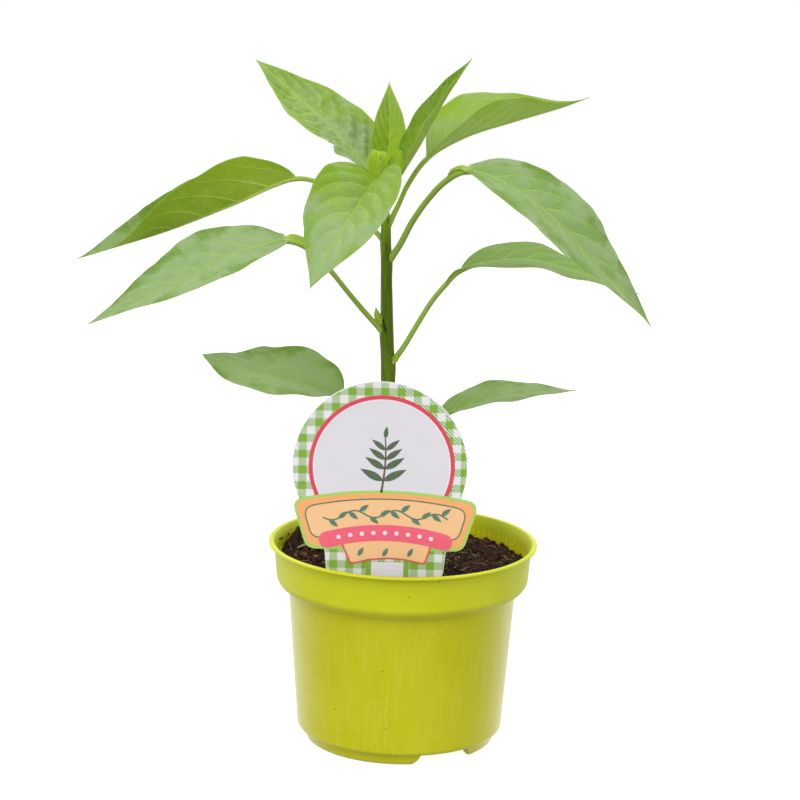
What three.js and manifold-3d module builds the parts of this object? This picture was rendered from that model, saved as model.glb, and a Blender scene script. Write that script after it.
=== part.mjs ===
// A young chilli pepper plant in a 12 cm nursery pot, with its card label. Millimetres, +Z up, front is -Y.
// Places are measured from the pot's axis at the ground; the last group then centres the whole on its box.
import * as THREE from 'three';
import { mergeVertices } from 'three/addons/utils/BufferGeometryUtils.js';
import Module from 'manifold-3d';

const wasm = await Module();
wasm.setup();

// ---------- driving dimensions ----------
const BOX_CENTRE_X = -22; // middle of the foliage's spread, from the pot's axis
const BOX_CENTRE_Y = 2;
const GAP = 0.3; // clearance between neighbouring pieces

const POT = {
  height: 91, rimRadius: 60, lipWidth: 2.3, lipThickness: 1.3, lipRound: 0.4, lipSlope: 2.2, wall: 1.2,
  collarTopRadius: 57.6, collarFootRadius: 56.5, collarBottom: 70.3, collarRound: 5.6,
  bodyTopRadius: 50.9, bodyFootRadius: 46, floor: 5, floorThickness: 1.4, edgeRound: 2.4,
  footRadius: 43.2, footWidth: 4, footRound: 1.2, segments: 48,
};
const FOOT_GAPS = { centres: [-61, 58, 178], width: 32 }; // degrees round the pot, 0 is +X
const DRAIN = { count: 8, radius: 4, ring: 30 };

const SOIL = {
  surface: 82, clearance: 0.4, clumps: 46, clumpHeight: 3, clumpRadius: 8, rings: 11, spokes: 36, seed: 7,
  heap: { x: -45, y: 16, height: 5.5, radius: 12 }, // a taller clump at the back left
};

const STEM = {
  route: [[-5, 0, 54], [-5.6, 0, 79], [-7.4, 0, 132], [-8.3, 0, 164], [-9.5, 0, 196], [-10.5, 0, 226],
    [-11.6, 0, 250]],
  radii: [2.0, 3.5, 3.4, 3.15, 2.7, 2.2, 1.4], sides: 12, steps: 26,
};

const LABEL = {
  front: -41, thickness: 0.8, centreX: -9.9, headZ: 135.1, headRadius: 37.4, bannerX: -8.05, stakeX: -7.8,
  // Half widths and heights of the shoulder and of the stake.
  banner: [[36, 121], [39.1, 118.8], [39.2, 114.9], [35.2, 102.1], [33.3, 99.1], [29.8, 98.1]],
  stake: [[26.3, 98], [25.3, 87], [13, 73], [1, 47]],
};

const BLADE_HALF_THICKNESS = 0.35;
const BLADE = { widest: 0.35, full: 0.66, opening: 0.16, ribAtTip: 0.3, ribAbove: 0.12, wavePhase: 0.9 };
const FOLD_RISE = [-8, 1]; // over which mm from the blade's start the fold opens
const LEAF_GRID = { columns: 6, blade: 14, stalk: 4 };
const SPROUT_GRID = { columns: 4, blade: 6, stalk: 2 };

// Each leaf's route runs from the stem's axis to the leaf's tip, and its blade starts at the route's point
// number bladeFrom. facing is where the upper face looks, at the blade's base and at its tip. fold is how far
// the left and right halves, seen from the stem, rise from the midrib, in degrees, at even steps from base to
// tip. full is how blunt the blade's base is: the lower, the blunter. curl bends the margins up (+) or down
// (-) as a share of the half width. wave is the margins' wave in mm.
const LEAVES = [
  {
    name: 'leaf_left_upper', width: 39.5, widest: 0.34, bladeFrom: 4, stalk: 1.1,
    route: [[-10.3, 0, 225.5], [-20, 5, 235], [-31, 9, 246.2], [-42, 13, 250.6], [-49.5, 15, 251],
      [-80, 20, 237.6], [-108, 22, 225], [-131, 21, 217.2], [-148, 19, 212.3]],
    facing: [[0, 0.1, 1], [0, 0, 1]], fold: [[72, 66, 60, 55, 36, 2, -8], [34, 36, 40, 46, 50, 48, 40]],
    curl: 0.05, wave: 0.4, waves: 2.5,
  },
  {
    name: 'leaf_left_middle', width: 38, bladeFrom: 5, stalk: 1.2,
    route: [[-8.8, 0, 184.8], [-19.2, -4, 196.8], [-26.4, -8, 205.9], [-35.2, -13, 216.8],
      [-45, -18, 226.6], [-53, -21, 229.4], [-73, -28, 226], [-99, -36, 213.6], [-123, -39, 201.6],
      [-136.6, -40, 194.8]],
    facing: [[0, -0.25, 1], [0, -0.25, 1]], fold: [[10, 10, 10], [14, 27, 22]],
    curl: -0.04, wave: 0.4, waves: 3,
  },
  {
    name: 'leaf_left_lower', width: 37, widest: 0.37, full: 0.52, bladeFrom: 2, stalk: 1.1,
    route: [[-7.2, 0, 130], [-17, -6, 146], [-29, -10, 158], [-41, -13, 164], [-58, -17, 168.8],
      [-76, -20, 173], [-89, -22, 178.8]],
    facing: [[0, -0.5, 1], [0, -0.5, 1]], fold: [[28, 10, -6], [38, 16, -6]],
    curl: -0.05, wave: 1, waves: 3,
  },
  {
    name: 'leaf_right_upper', width: 44, widest: 0.3, full: 0.85, bladeFrom: 3, stalk: 1.15,
    route: [[-10.4, 0, 232], [-6, 3.5, 241], [-1.2, 8, 251.2], [6.6, 13, 261], [23.4, 24, 269.4],
      [45.5, 37, 275.8], [68, 46, 282], [79, 50, 285.4]],
    facing: [[0, 0.3, 1], [0, 0.2, 1]], fold: [[40, 46, 56, 62], [20, 24, 30, 34]],
    curl: 0.05, wave: 0.4, waves: 3.5,
  },
  {
    name: 'leaf_right_front', width: 43.5, widest: 0.38, bladeFrom: 5, stalk: 1.45,
    route: [[-9.8, 0, 217], [-4.7, -2.5, 225], [1.1, -5, 237], [7.6, -8, 247.2], [15, -12, 255.8],
      [23.5, -17, 260.8], [40, -25, 257.2], [61, -34, 243.6], [80, -41, 224.6], [97, -44, 208],
      [103, -45, 200.6]],
    facing: [[0.1, -0.3, 1], [0.6, -0.4, 0.7]], fold: [[12, 20, 8, 16], [16, 8, 10, 24]],
    curl: -0.08, wave: 0.4, waves: 3,
  },
  {
    name: 'leaf_right_middle', width: 37, widest: 0.39, full: 1.05, bladeFrom: 5, stalk: 1.25,
    route: [[-8.3, 0, 170], [-1.8, 2, 179], [3.8, 5, 188.4], [9.8, 8, 198.2], [15.8, 11, 205.5],
      [23, 15, 211.8], [50, 24, 215.9], [76, 31, 208.8], [104, 36, 202.6]],
    facing: [[0, 0, 1], [0, 0, 1]], fold: [[22, 24, 20], [8, 4, 4]],
    curl: -0.08, wave: 0.5, waves: 3,
  },
  {
    name: 'leaf_right_lower', width: 32.5, full: 0.76, bladeFrom: 3, stalk: 1.1,
    route: [[-7.1, 0, 128], [0, 2.5, 135], [7, 5, 140.6], [14, 7, 145.5], [36, 12, 153.4],
      [57, 16, 156.6], [76, 20, 157.1]],
    facing: [[0, 0, 1], [0, 0, 1]], fold: [[14, 22, 18], [24, 14, 10]],
    curl: -0.1, wave: 0.4, waves: 3,
  },
  {
    name: 'leaf_front', width: 45, bladeFrom: 3, stalk: 1.1,
    route: [[-11, 0, 238], [-12.3, -5, 247], [-13.4, -10, 253], [-15.2, -16, 255.3],
      [-19.6, -34, 252.3], [-28.4, -56, 240.5], [-37, -71, 226.5], [-41, -78, 219.3]],
    facing: [[0, -0.2, 1], [-0.2, -0.7, 0.7]], fold: [[60, 38, 24, 16, 12], [42, 44, 24, 4, 0]],
    curl: -0.1, wave: 0.5, waves: 3,
  },
  {
    name: 'leaf_back', width: 34, bladeFrom: 2, stalk: 1,
    route: [[-11.2, 0, 243], [-13, 6, 249], [-15, 14, 253], [-21, 44, 256.8], [-26.5, 68, 259.3],
      [-29.5, 82, 257.8]],
    facing: [[0, -0.1, 1], [0, 0.1, 1]], fold: [[25, 15], [25, 15]],
    curl: -0.05, wave: 0.8, waves: 3,
  },
  {
    name: 'leaf_top_left', width: 36.5, widest: 0.35, full: 0.62, bladeFrom: 2, stalk: 1,
    route: [[-11.4, 0, 246], [-15, 0, 252.5], [-18.5, 1.5, 256.5], [-31, 13, 269.4], [-48, 28, 282.6],
      [-70.5, 42, 300]],
    facing: [[0.3, -0.7, 0.8], [0.3, -0.6, 0.8]], fold: [[50, 24, 16, 20], [6, 8]],
    curl: 0, wave: 0.4, waves: 3.5,
  },
  {
    name: 'leaf_top_centre', width: 17.5, bladeFrom: 1, stalk: 0.8,
    route: [[-11.6, 0.4, 249.6], [-11.2, 5.2, 253.724], [-10.2, 9, 262.54], [-10.2, 13, 280.54],
      [-10.7, 17, 294.34]],
    facing: [[0, -1, 0.4], [0, -1, 0.4]], fold: [[40, 24], [40, 24]],
    curl: 0, wave: 0.4, waves: 3,
  },
  {
    name: 'leaf_top_right', width: 24.5, bladeFrom: 2, stalk: 0.9,
    route: [[-11.4, 0, 246.5], [-7, -2.4, 251.96], [-1.8, -4, 258.92], [5.2, -2, 269.92], [15.2, 2.6, 289.552],
      [25, 5, 306.8]],
    facing: [[-0.8, -0.47, 0.35], [-0.8, -0.47, 0.35]], fold: [[16, 12, 14], [50, 42, 40]],
    curl: 0, wave: 0.4, waves: 3,
  },
  {
    name: 'seed_leaf', width: 7, bladeFrom: 2, stalk: 0.8,
    route: [[-6.3, 0, 108], [2, 2, 115], [9, 4, 119.5], [20, 6, 124.5], [29, 8, 128]],
    facing: [[-0.3, 0, 1], [-0.3, 0, 1]], fold: [[12, 8], [12, 8]],
    curl: 0, wave: 0, waves: 1,
  },
];

// Tiny unopened leaves of the crown and of the buds in two leaf joints, all grown on the stem.
const CROWN_FACING = [[0, -1, 0.3], [0, -0.9, 0.6]];
const BUD_FACING = [[0, -1, 0.3], [0, -1, 0.3]];
const SPROUTS = [
  {
    width: 12.5, widest: 0.55, facing: CROWN_FACING,
    route: [[-11.8, -0.5, 248.5], [-12.8, -3, 253], [-14, -5.4, 260], [-14.6, -6.8, 266], [-14.6, -8.6, 270]],
  },
  {
    width: 8, widest: 0.5, facing: CROWN_FACING,
    route: [[-11.5, 0, 249], [-10.8, -3, 254], [-9.4, -5, 260], [-8.4, -5.8, 266], [-8, -6.4, 269.5]],
  },
  {
    width: 6, facing: BUD_FACING,
    route: [[-11.5, 0, 249], [-11.8, -1, 254], [-12, -1.6, 259], [-12.4, -2, 264]],
  },
  {
    width: 3.4, facing: BUD_FACING,
    route: [[-8.9, 0, 188], [-10.8, -1.6, 190.5], [-12.4, -2.6, 194], [-13, -3.2, 199]],
  },
  {
    width: 3, facing: BUD_FACING,
    route: [[-8.3, 0, 170], [-6.2, -2, 173], [-5, -3, 175.5], [-4.5, -3.5, 178.5]],
  },
].map((sprout) => ({
  bladeFrom: 1, stalk: 0.75, fold: [[20, 10], [20, 10]], curl: 0, wave: 0, waves: 1, ...sprout,
}));

const COLOURS = {
  pot: 0xc0c420, soil: 0x2d1e1a, stem: 0x5c8214, leaf: 0x7ea345, young: 0x97b93c, label: 0xe6e4ea,
};

// ---------- solids ----------
const radians = THREE.MathUtils.degToRad;
const mix = THREE.MathUtils.lerp;

// Merges shared corners and drops the triangles that this leaves without area.
function weld(geometry) {
  geometry.deleteAttribute('normal');
  geometry.deleteAttribute('uv');
  const merged = mergeVertices(geometry, 1e-4);
  const index = [...merged.index.array];
  const kept = [];
  for (let i = 0; i < index.length; i += 3) {
    const [a, b, c] = index.slice(i, i + 3);
    if (a !== b && b !== c && c !== a) kept.push(a, b, c);
  }
  merged.setIndex(kept);
  return merged;
}

function toSolid(geometry) {
  const merged = weld(geometry);
  return new wasm.Manifold(new wasm.Mesh({
    numProp: 3,
    vertProperties: new Float32Array(merged.attributes.position.array),
    triVerts: new Uint32Array(merged.index.array),
  }));
}

function toGeometry(solid) {
  const mesh = solid.getMesh();
  const geometry = new THREE.BufferGeometry();
  geometry.setAttribute('position', new THREE.BufferAttribute(mesh.vertProperties, 3));
  geometry.setIndex(new THREE.BufferAttribute(mesh.triVerts, 1));
  geometry.computeVertexNormals();
  return geometry;
}

// Turns a profile of [radius, height] round the Z axis.
function turned(profile, segments) {
  const points = profile.map(([radius, height]) => new THREE.Vector2(radius, height));
  return toSolid(new THREE.LatheGeometry(points, segments).rotateX(Math.PI / 2));
}

// Points of an arc in a profile, from one angle to another in degrees.
function arc(centre, radius, from, to, steps) {
  return Array.from({ length: steps + 1 }, (_, i) => {
    const angle = radians(mix(from, to, i / steps));
    return [centre[0] + radius * Math.cos(angle), centre[1] + radius * Math.sin(angle)];
  });
}

// An upright prism of a ground outline.
function prism(outline, bottom, top) {
  const shape = new THREE.Shape(outline.map(([x, y]) => new THREE.Vector2(x, y)));
  const geometry = new THREE.ExtrudeGeometry(shape, { depth: top - bottom, bevelEnabled: false });
  return toSolid(geometry.translate(0, 0, bottom));
}

// A smooth curve through points given as [x, y, z].
function curveThrough(route) {
  return new THREE.CatmullRomCurve3(route.map((point) => new THREE.Vector3(...point)), false, 'centripetal');
}

// The value at a share along a list of evenly spaced values.
function between(values, share) {
  const place = share * (values.length - 1);
  const index = Math.min(Math.floor(place), values.length - 2);
  return mix(values[index], values[index + 1], place - index);
}

// A repeatable random number from 0 to 1.
function randomFrom(seed) {
  let state = seed;
  return () => {
    state = (state * 16807) % 2147483647;
    return state / 2147483647;
  };
}

// ---------- pot ----------
function bodyRadius(height) {
  const share = (height - POT.floor) / (POT.collarBottom - POT.floor);
  return mix(POT.bodyFootRadius, POT.bodyTopRadius, share);
}

function makePot() {
  const { wall, height, lipRound, collarBottom, collarRound, floor, edgeRound } = POT;
  const roundCentre = [POT.bodyTopRadius, collarBottom + collarRound];
  const lipUnder = height - POT.lipThickness;
  const lipInner = POT.rimRadius - POT.lipWidth;
  const floorTop = floor + POT.floorThickness;
  const edgeCentre = [bodyRadius(floor + edgeRound) - edgeRound, floor + edgeRound];
  const shell = turned([
    [0, floor],
    ...arc(edgeCentre, edgeRound, -90, 0, 2),
    ...arc(roundCentre, collarRound, -90, 0, 4),
    [POT.collarTopRadius, lipUnder - lipRound],
    [POT.collarTopRadius + lipRound, lipUnder],
    [POT.rimRadius - lipRound, lipUnder],
    [POT.rimRadius, lipUnder + lipRound],
    [POT.rimRadius, height - lipRound],
    [POT.rimRadius - lipRound, height],
    [lipInner, height],
    [POT.collarTopRadius - wall, height - POT.lipSlope],
    ...arc(roundCentre, collarRound - wall, 0, -90, 3),
    [POT.bodyTopRadius - wall, collarBottom + wall],
    [bodyRadius(floorTop) - wall, floorTop],
    [0, floorTop],
  ], POT.segments);

  const inner = POT.footRadius - POT.footWidth;
  const { footRadius, footRound } = POT;
  const footTop = floor + POT.floorThickness / 2;
  let feet = turned([
    [inner, footTop],
    [inner, 0],
    ...arc([footRadius - footRound, footRound], footRound, -90, 0, 3),
    [footRadius, footTop],
    [inner, footTop],
  ], POT.segments);
  for (const centre of FOOT_GAPS.centres) {
    const sides = [centre - FOOT_GAPS.width / 2, centre + FOOT_GAPS.width / 2].map(radians);
    const corners = sides.map((angle) => [POT.rimRadius * Math.cos(angle), POT.rimRadius * Math.sin(angle)]);
    feet = feet.subtract(prism([[0, 0], ...corners], -floor, floor));
  }

  let pot = shell.add(feet);
  for (let i = 0; i < DRAIN.count; i += 1) {
    const angle = (2 * Math.PI * i) / DRAIN.count;
    const hole = new THREE.CylinderGeometry(DRAIN.radius, DRAIN.radius, 4 * floor, 12).rotateX(Math.PI / 2);
    hole.translate(DRAIN.ring * Math.cos(angle), DRAIN.ring * Math.sin(angle), floor);
    pot = pot.subtract(toSolid(hole));
  }
  return pot;
}

// ---------- label ----------
// The card's outline in its own plane: a round head, a wide shoulder and a pointed stake, grown by a margin.
function labelOutline(margin) {
  const { banner, stake, headZ } = LABEL;
  const radius = LABEL.headRadius + margin;
  const start = THREE.MathUtils.radToDeg(Math.asin((banner[0][1] - headZ) / radius));
  const head = arc([LABEL.centreX, headZ], radius, start, 180 - start, 28);
  const tip = stake.length - 1;
  const side = (sign) => [
    ...banner.map(([half, z]) => [LABEL.bannerX + sign * (half + margin), z]),
    ...stake.map(([half, z], i) => [LABEL.stakeX + sign * (half + margin), i === tip ? z - margin : z]),
  ];
  return [...head, ...side(-1), ...side(1).reverse()];
}

function makeCard(margin) {
  const shape = new THREE.Shape(labelOutline(margin).map(([x, z]) => new THREE.Vector2(x, z)));
  const depth = LABEL.thickness + 2 * margin;
  const geometry = new THREE.ExtrudeGeometry(shape, { depth, bevelEnabled: false });
  geometry.rotateX(Math.PI / 2).translate(0, LABEL.front + LABEL.thickness + margin, 0);
  return toSolid(geometry);
}

// ---------- stem ----------
function makeStem(extra) {
  const curve = curveThrough(STEM.route);
  const rings = [];
  for (let i = 0; i <= STEM.steps; i += 1) {
    const share = i / STEM.steps;
    const radius = between(STEM.radii, share) + extra;
    const centre = curve.getPoint(share);
    if (i === 0) centre.z -= extra;
    if (i === STEM.steps) centre.z += extra;
    rings.push(Array.from({ length: STEM.sides }, (_, side) => {
      const angle = (2 * Math.PI * side) / STEM.sides;
      return centre.clone().add(new THREE.Vector3(radius * Math.cos(angle), radius * Math.sin(angle), 0));
    }));
  }
  return loft(rings);
}

// A closed solid through rings of points, with a fan at each end.
function loft(rings) {
  const count = rings[0].length;
  const positions = rings.flat().flatMap((point) => point.toArray());
  const index = [];
  for (let i = 0; i + 1 < rings.length; i += 1) {
    for (let j = 0; j < count; j += 1) {
      const [a, b] = [i * count + j, i * count + ((j + 1) % count)];
      index.push(a, b, b + count, a, b + count, a + count);
    }
  }
  const last = (rings.length - 1) * count;
  for (let j = 1; j + 1 < count; j += 1) {
    index.push(0, j + 1, j, last, last + j, last + j + 1);
  }
  const geometry = new THREE.BufferGeometry();
  geometry.setAttribute('position', new THREE.Float32BufferAttribute(positions, 3));
  geometry.setIndex(index);
  return toSolid(geometry);
}

// ---------- leaves ----------
// Half width of a blade along its length, as a share of its greatest: a rounded base and a drawn-out tip.
function bladeWidth(share, { widest = BLADE.widest, full = BLADE.full }) {
  const tipPower = (full * (1 - widest)) / widest;
  return ((share / widest) ** full) * (((1 - share) / (1 - widest)) ** tipPower);
}

// The middle surface of a leaf: for a length share along the blade (negative in the stalk) and a place from
// -1 to 1 across it, the point, the half thickness there and how much of the rib stands above the blade.
function leafSurface(leaf) {
  const curve = curveThrough(leaf.route);
  curve.arcLengthDivisions = 400;
  const spans = leaf.route.length - 1;
  const lengths = curve.getLengths(spans * 20);
  const whole = lengths[lengths.length - 1];
  const bladeStart = lengths[leaf.bladeFrom * 20] / whole;
  const [faceBase, faceTip] = leaf.facing.map((direction) => new THREE.Vector3(...direction).normalize());

  return (share, across) => {
    const along = share < 0 ? bladeStart * (1 + share) : mix(bladeStart, 1, share);
    const inBlade = THREE.MathUtils.clamp(share, 0, 1);
    const centre = curve.getPointAt(along);
    const tangent = curve.getTangentAt(along);
    const face = faceBase.clone().lerp(faceTip, inBlade);
    const sideways = new THREE.Vector3().crossVectors(tangent, face).normalize();
    const normal = new THREE.Vector3().crossVectors(sideways, tangent);

    const stalk = leaf.stalk * mix(1, BLADE.ribAtTip, Math.sqrt(inBlade));
    const breadth = bladeWidth(inBlade, leaf);
    const half = Math.hypot(stalk, (leaf.width / 2) * breadth);
    const opening = THREE.MathUtils.smoothstep(share, 0, BLADE.opening);
    const risen = THREE.MathUtils.smoothstep((along - bladeStart) * whole, ...FOLD_RISE);
    const fold = radians(between(leaf.fold[across < 0 ? 0 : 1], inBlade)) * risen;
    const reach = half * Math.abs(across);
    const phase = 2 * Math.PI * leaf.waves * inBlade + Math.sign(across) * BLADE.wavePhase;
    const ripple = leaf.wave * Math.sin(phase);
    const lift = reach * Math.sin(fold)
      + across * across * opening * (half * leaf.curl + ripple * Math.sqrt(breadth));
    const point = centre
      .addScaledVector(sideways, Math.sign(across) * reach * Math.cos(fold))
      .addScaledVector(normal, lift);
    const round = Math.sqrt(Math.max(0, stalk * stalk - reach * reach));
    const thickness = Math.max(BLADE_HALF_THICKNESS, round);
    return { point, thickness, ribAbove: mix(1, BLADE.ribAbove, opening) };
  };
}

// A leaf as one thin solid, grown by a margin: upper and lower faces are split into triangles alike.
function makeLeaf(leaf, margin, gridSize) {
  const surface = leafSurface(leaf);
  const shares = [];
  for (let i = 0; i < gridSize.stalk; i += 1) shares.push(-1 + i / gridSize.stalk);
  for (let i = 0; i <= gridSize.blade; i += 1) shares.push(i / gridSize.blade);
  const across = Array.from({ length: gridSize.columns + 1 }, (_, j) => -1 + (2 * j) / gridSize.columns);
  const grid = shares.map((share) => across.map((place) => surface(share, place)));

  const upper = [];
  const lower = [];
  const rows = shares.length;
  const columns = across.length;
  for (let i = 0; i < rows; i += 1) {
    for (let j = 0; j < columns; j += 1) {
      const before = grid[Math.max(i - 1, 0)][j].point;
      const after = grid[Math.min(i + 1, rows - 1)][j].point;
      const left = grid[i][Math.max(j - 1, 0)].point;
      const right = grid[i][Math.min(j + 1, columns - 1)].point;
      const sideways = right.clone().sub(left);
      const normal = new THREE.Vector3().crossVectors(sideways, after.clone().sub(before)).normalize();
      const { point, thickness, ribAbove } = grid[i][j];
      const above = mix(BLADE_HALF_THICKNESS, thickness, ribAbove);
      const spread = sideways.setLength(margin * across[j]);
      upper.push(point.clone().add(spread).addScaledVector(normal, above + margin));
      lower.push(point.clone().add(spread).addScaledVector(normal, -thickness - margin));
    }
  }

  const size = rows * columns;
  const index = [];
  const quad = (a, b, c, d) => index.push(a, b, c, a, c, d);
  for (let i = 0; i + 1 < rows; i += 1) {
    for (let j = 0; j + 1 < columns; j += 1) {
      const a = i * columns + j;
      const d = a + columns;
      quad(a, a + 1, d + 1, d);
      index.push(size + a, size + d + 1, size + a + 1, size + a, size + d, size + d + 1);
    }
    const [leftEdge, rightEdge] = [i * columns, i * columns + columns - 1];
    quad(leftEdge, leftEdge + columns, size + leftEdge + columns, size + leftEdge);
    quad(rightEdge, size + rightEdge, size + rightEdge + columns, rightEdge + columns);
  }
  for (let j = 0; j + 1 < columns; j += 1) {
    quad(j, size + j, size + j + 1, j + 1);
    const end = (rows - 1) * columns + j;
    quad(end, end + 1, size + end + 1, size + end);
  }
  const geometry = new THREE.BufferGeometry();
  const positions = [...upper, ...lower].flatMap((point) => point.toArray());
  geometry.setAttribute('position', new THREE.Float32BufferAttribute(positions, 3));
  geometry.setIndex(index);
  return toSolid(geometry);
}

// ---------- soil ----------
function makeSoil(stemClearance, cardClearance) {
  const random = randomFrom(SOIL.seed);
  const inset = POT.wall + SOIL.clearance;
  const topRadius = POT.collarFootRadius - inset;
  const clumps = Array.from({ length: SOIL.clumps }, () => {
    const distance = topRadius * Math.sqrt(random());
    const angle = 2 * Math.PI * random();
    return {
      x: distance * Math.cos(angle), y: distance * Math.sin(angle),
      height: SOIL.clumpHeight * (2 * random() - 1), radius: SOIL.clumpRadius * (0.6 + random()),
    };
  }).concat(SOIL.heap);
  const surface = (x, y) => clumps.reduce((height, clump) => {
    const distance = Math.hypot(x - clump.x, y - clump.y) / clump.radius;
    return height + clump.height * Math.exp(-distance * distance * 2);
  }, SOIL.surface);

  // The lower rings follow the pot's inside: floor, body wall and the step of the collar.
  const floorTop = POT.floor + POT.floorThickness + GAP;
  const step = POT.collarBottom + POT.wall + GAP;
  const bodyTop = POT.bodyTopRadius - inset;
  const shelf = topRadius - bodyTop;
  const sides = [
    [bodyRadius(floorTop) - inset, floorTop], [bodyTop, step],
    [bodyTop + shelf / 2, step + shelf / 8], [topRadius, step + shelf * 0.75],
  ];
  const ring = (radius, height) => Array.from({ length: SOIL.spokes }, (_, i) => {
    const angle = (2 * Math.PI * i) / SOIL.spokes;
    const [x, y] = [radius * Math.cos(angle), radius * Math.sin(angle)];
    return new THREE.Vector3(x, y, typeof height === 'function' ? height(x, y) : height);
  });
  const tops = Array.from({ length: SOIL.rings }, (_, i) => ring(topRadius * (1 - i / SOIL.rings), surface));
  const soil = loft([...sides.map(([radius, height]) => ring(radius, height)), ...tops]);
  return soil.subtract(stemClearance).subtract(cardClearance);
}

// ---------- assembly ----------
const plant = new THREE.Group();
plant.position.set(-BOX_CENTRE_X, -BOX_CENTRE_Y, 0);

function place(name, solid, colour, roughness) {
  const material = new THREE.MeshStandardMaterial({ color: colour, roughness, metalness: 0 });
  const mesh = new THREE.Mesh(toGeometry(solid), material);
  mesh.name = name;
  plant.add(mesh);
}

// The stem with its sprouts, grown by a margin.
function makeShoot(margin) {
  const sprouts = SPROUTS.map((sprout) => makeLeaf(sprout, margin, SPROUT_GRID));
  return sprouts.reduce((grown, sprout) => grown.add(sprout), makeStem(margin));
}

const clearance = makeShoot(GAP);

place('pot', makePot(), COLOURS.pot, 0.35);
place('soil', makeSoil(clearance, makeCard(GAP)), COLOURS.soil, 1);
place('stem', makeShoot(0), COLOURS.stem, 0.5);
for (const leaf of LEAVES) {
  const young = leaf.name.startsWith('leaf_top');
  const solid = makeLeaf(leaf, 0, LEAF_GRID).subtract(clearance);
  place(leaf.name, solid, young ? COLOURS.young : COLOURS.leaf, 0.5);
}
place('label', makeCard(0), COLOURS.label, 0.4);

const pottedChilliPlant = new THREE.Group();
pottedChilliPlant.add(plant);

export default pottedChilliPlant;
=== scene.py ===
"""A young chilli pepper plant in a 12 cm nursery pot, with its card label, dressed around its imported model.

Lengths are millimetres from the pot's axis at the ground, as in the part's source, until add_piece() turns
them into metres in the shared frame. +Z is up and -Y is the front. Angles in the tables are degrees.
"""

import math
from dataclasses import dataclass

import bmesh
import bpy
import numpy as np
from mathutils import Matrix, Vector, noise


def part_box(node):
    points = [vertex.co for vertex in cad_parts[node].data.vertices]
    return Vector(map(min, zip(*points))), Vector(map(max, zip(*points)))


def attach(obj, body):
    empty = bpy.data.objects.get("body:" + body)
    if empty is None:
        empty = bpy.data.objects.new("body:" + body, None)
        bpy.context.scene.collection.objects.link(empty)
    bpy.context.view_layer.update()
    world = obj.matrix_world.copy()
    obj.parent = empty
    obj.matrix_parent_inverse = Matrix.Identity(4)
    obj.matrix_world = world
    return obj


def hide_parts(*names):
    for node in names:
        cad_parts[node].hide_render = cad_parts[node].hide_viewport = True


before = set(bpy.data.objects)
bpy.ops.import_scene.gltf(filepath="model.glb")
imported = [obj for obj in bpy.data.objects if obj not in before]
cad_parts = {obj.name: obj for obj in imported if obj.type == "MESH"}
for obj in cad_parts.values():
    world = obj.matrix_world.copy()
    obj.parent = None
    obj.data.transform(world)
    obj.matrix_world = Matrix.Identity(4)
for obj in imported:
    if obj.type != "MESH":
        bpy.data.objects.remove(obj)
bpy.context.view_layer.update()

MM = 0.001
pot_low, pot_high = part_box("pot")
POT_AXIS = np.array([(pot_low.x + pot_high.x) / 2, (pot_low.y + pot_high.y) / 2, 0.0])


# ---------- camera, light and floor ----------
CAMERA = {
    "aim": (-2.8, 0, 155.5), "distance": 1300, "elevation": 12.96, "roll": 1.3, "lens": 132.1, "sensor": 36,
    "nearest_m": 0.05, "farthest_m": 20,
}
LIGHTS = [
    # name, place in mm, size in mm, power in watts, and whether glossy surfaces mirror it
    ("softbox_above_front", (-300, -950, 1600), 1400, 20, False),
    ("softbox_left", (-1300, -1200, 700), 1000, 8.5, False),
    ("softbox_right", (1300, -1000, 700), 1000, 7, False),
    ("softbox_above_back", (200, 900, 1500), 1400, 15, False),
]
WORLD = {
    # brightness as light, as seen by the camera, and as mirrored by glossy surfaces from each side
    "light": 0.55, "seen": 1.0, "mirrored_front": 0.1, "mirrored_back": 1.4, "mirrored_top": 1.2,
    "mirrored_below": 0.35,
}
FLOOR = {"radius": 1600, "segments": 96, "colour": 0.3, "roughness": 0.9, "glow": 0.9}


def to_frame(point):
    """A point in metres in the shared frame."""
    return Vector(np.asarray(point, float) * MM + POT_AXIS)


def full_turn(count):
    """Evenly spaced angles round a full turn, in radians."""
    return np.linspace(0, 2 * math.pi, count, endpoint=False)


def add_object(name, data):
    made = bpy.data.objects.new(name, data)
    bpy.context.scene.collection.objects.link(made)
    return made


def make_camera():
    data = bpy.data.cameras.new("camera")
    data.lens = CAMERA["lens"]
    data.sensor_width = CAMERA["sensor"]
    data.clip_start, data.clip_end = CAMERA["nearest_m"], CAMERA["farthest_m"]
    camera = add_object("camera", data)
    tilt = math.radians(CAMERA["elevation"])
    back = Vector((0, -math.cos(tilt), math.sin(tilt))) * CAMERA["distance"] * MM
    lean = Matrix.Rotation(math.radians(90) - tilt, 4, "X")
    roll = Matrix.Rotation(math.radians(CAMERA["roll"]), 4, "Z")
    camera.matrix_world = Matrix.Translation(to_frame(CAMERA["aim"]) + back) @ (lean @ roll)
    bpy.context.scene.camera = camera


def make_lights():
    aim = to_frame(CAMERA["aim"])
    for name, place, size, power, mirrored in LIGHTS:
        data = bpy.data.lights.new(name, "AREA")
        data.shape = "DISK"
        data.size = size * MM
        data.energy = power
        lamp = add_object(name, data)
        lamp.location = to_frame(place)
        lamp.rotation_euler = (aim - lamp.location).to_track_quat("-Z", "Y").to_euler()
        lamp.visible_camera = False
        lamp.visible_glossy = mirrored


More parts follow.
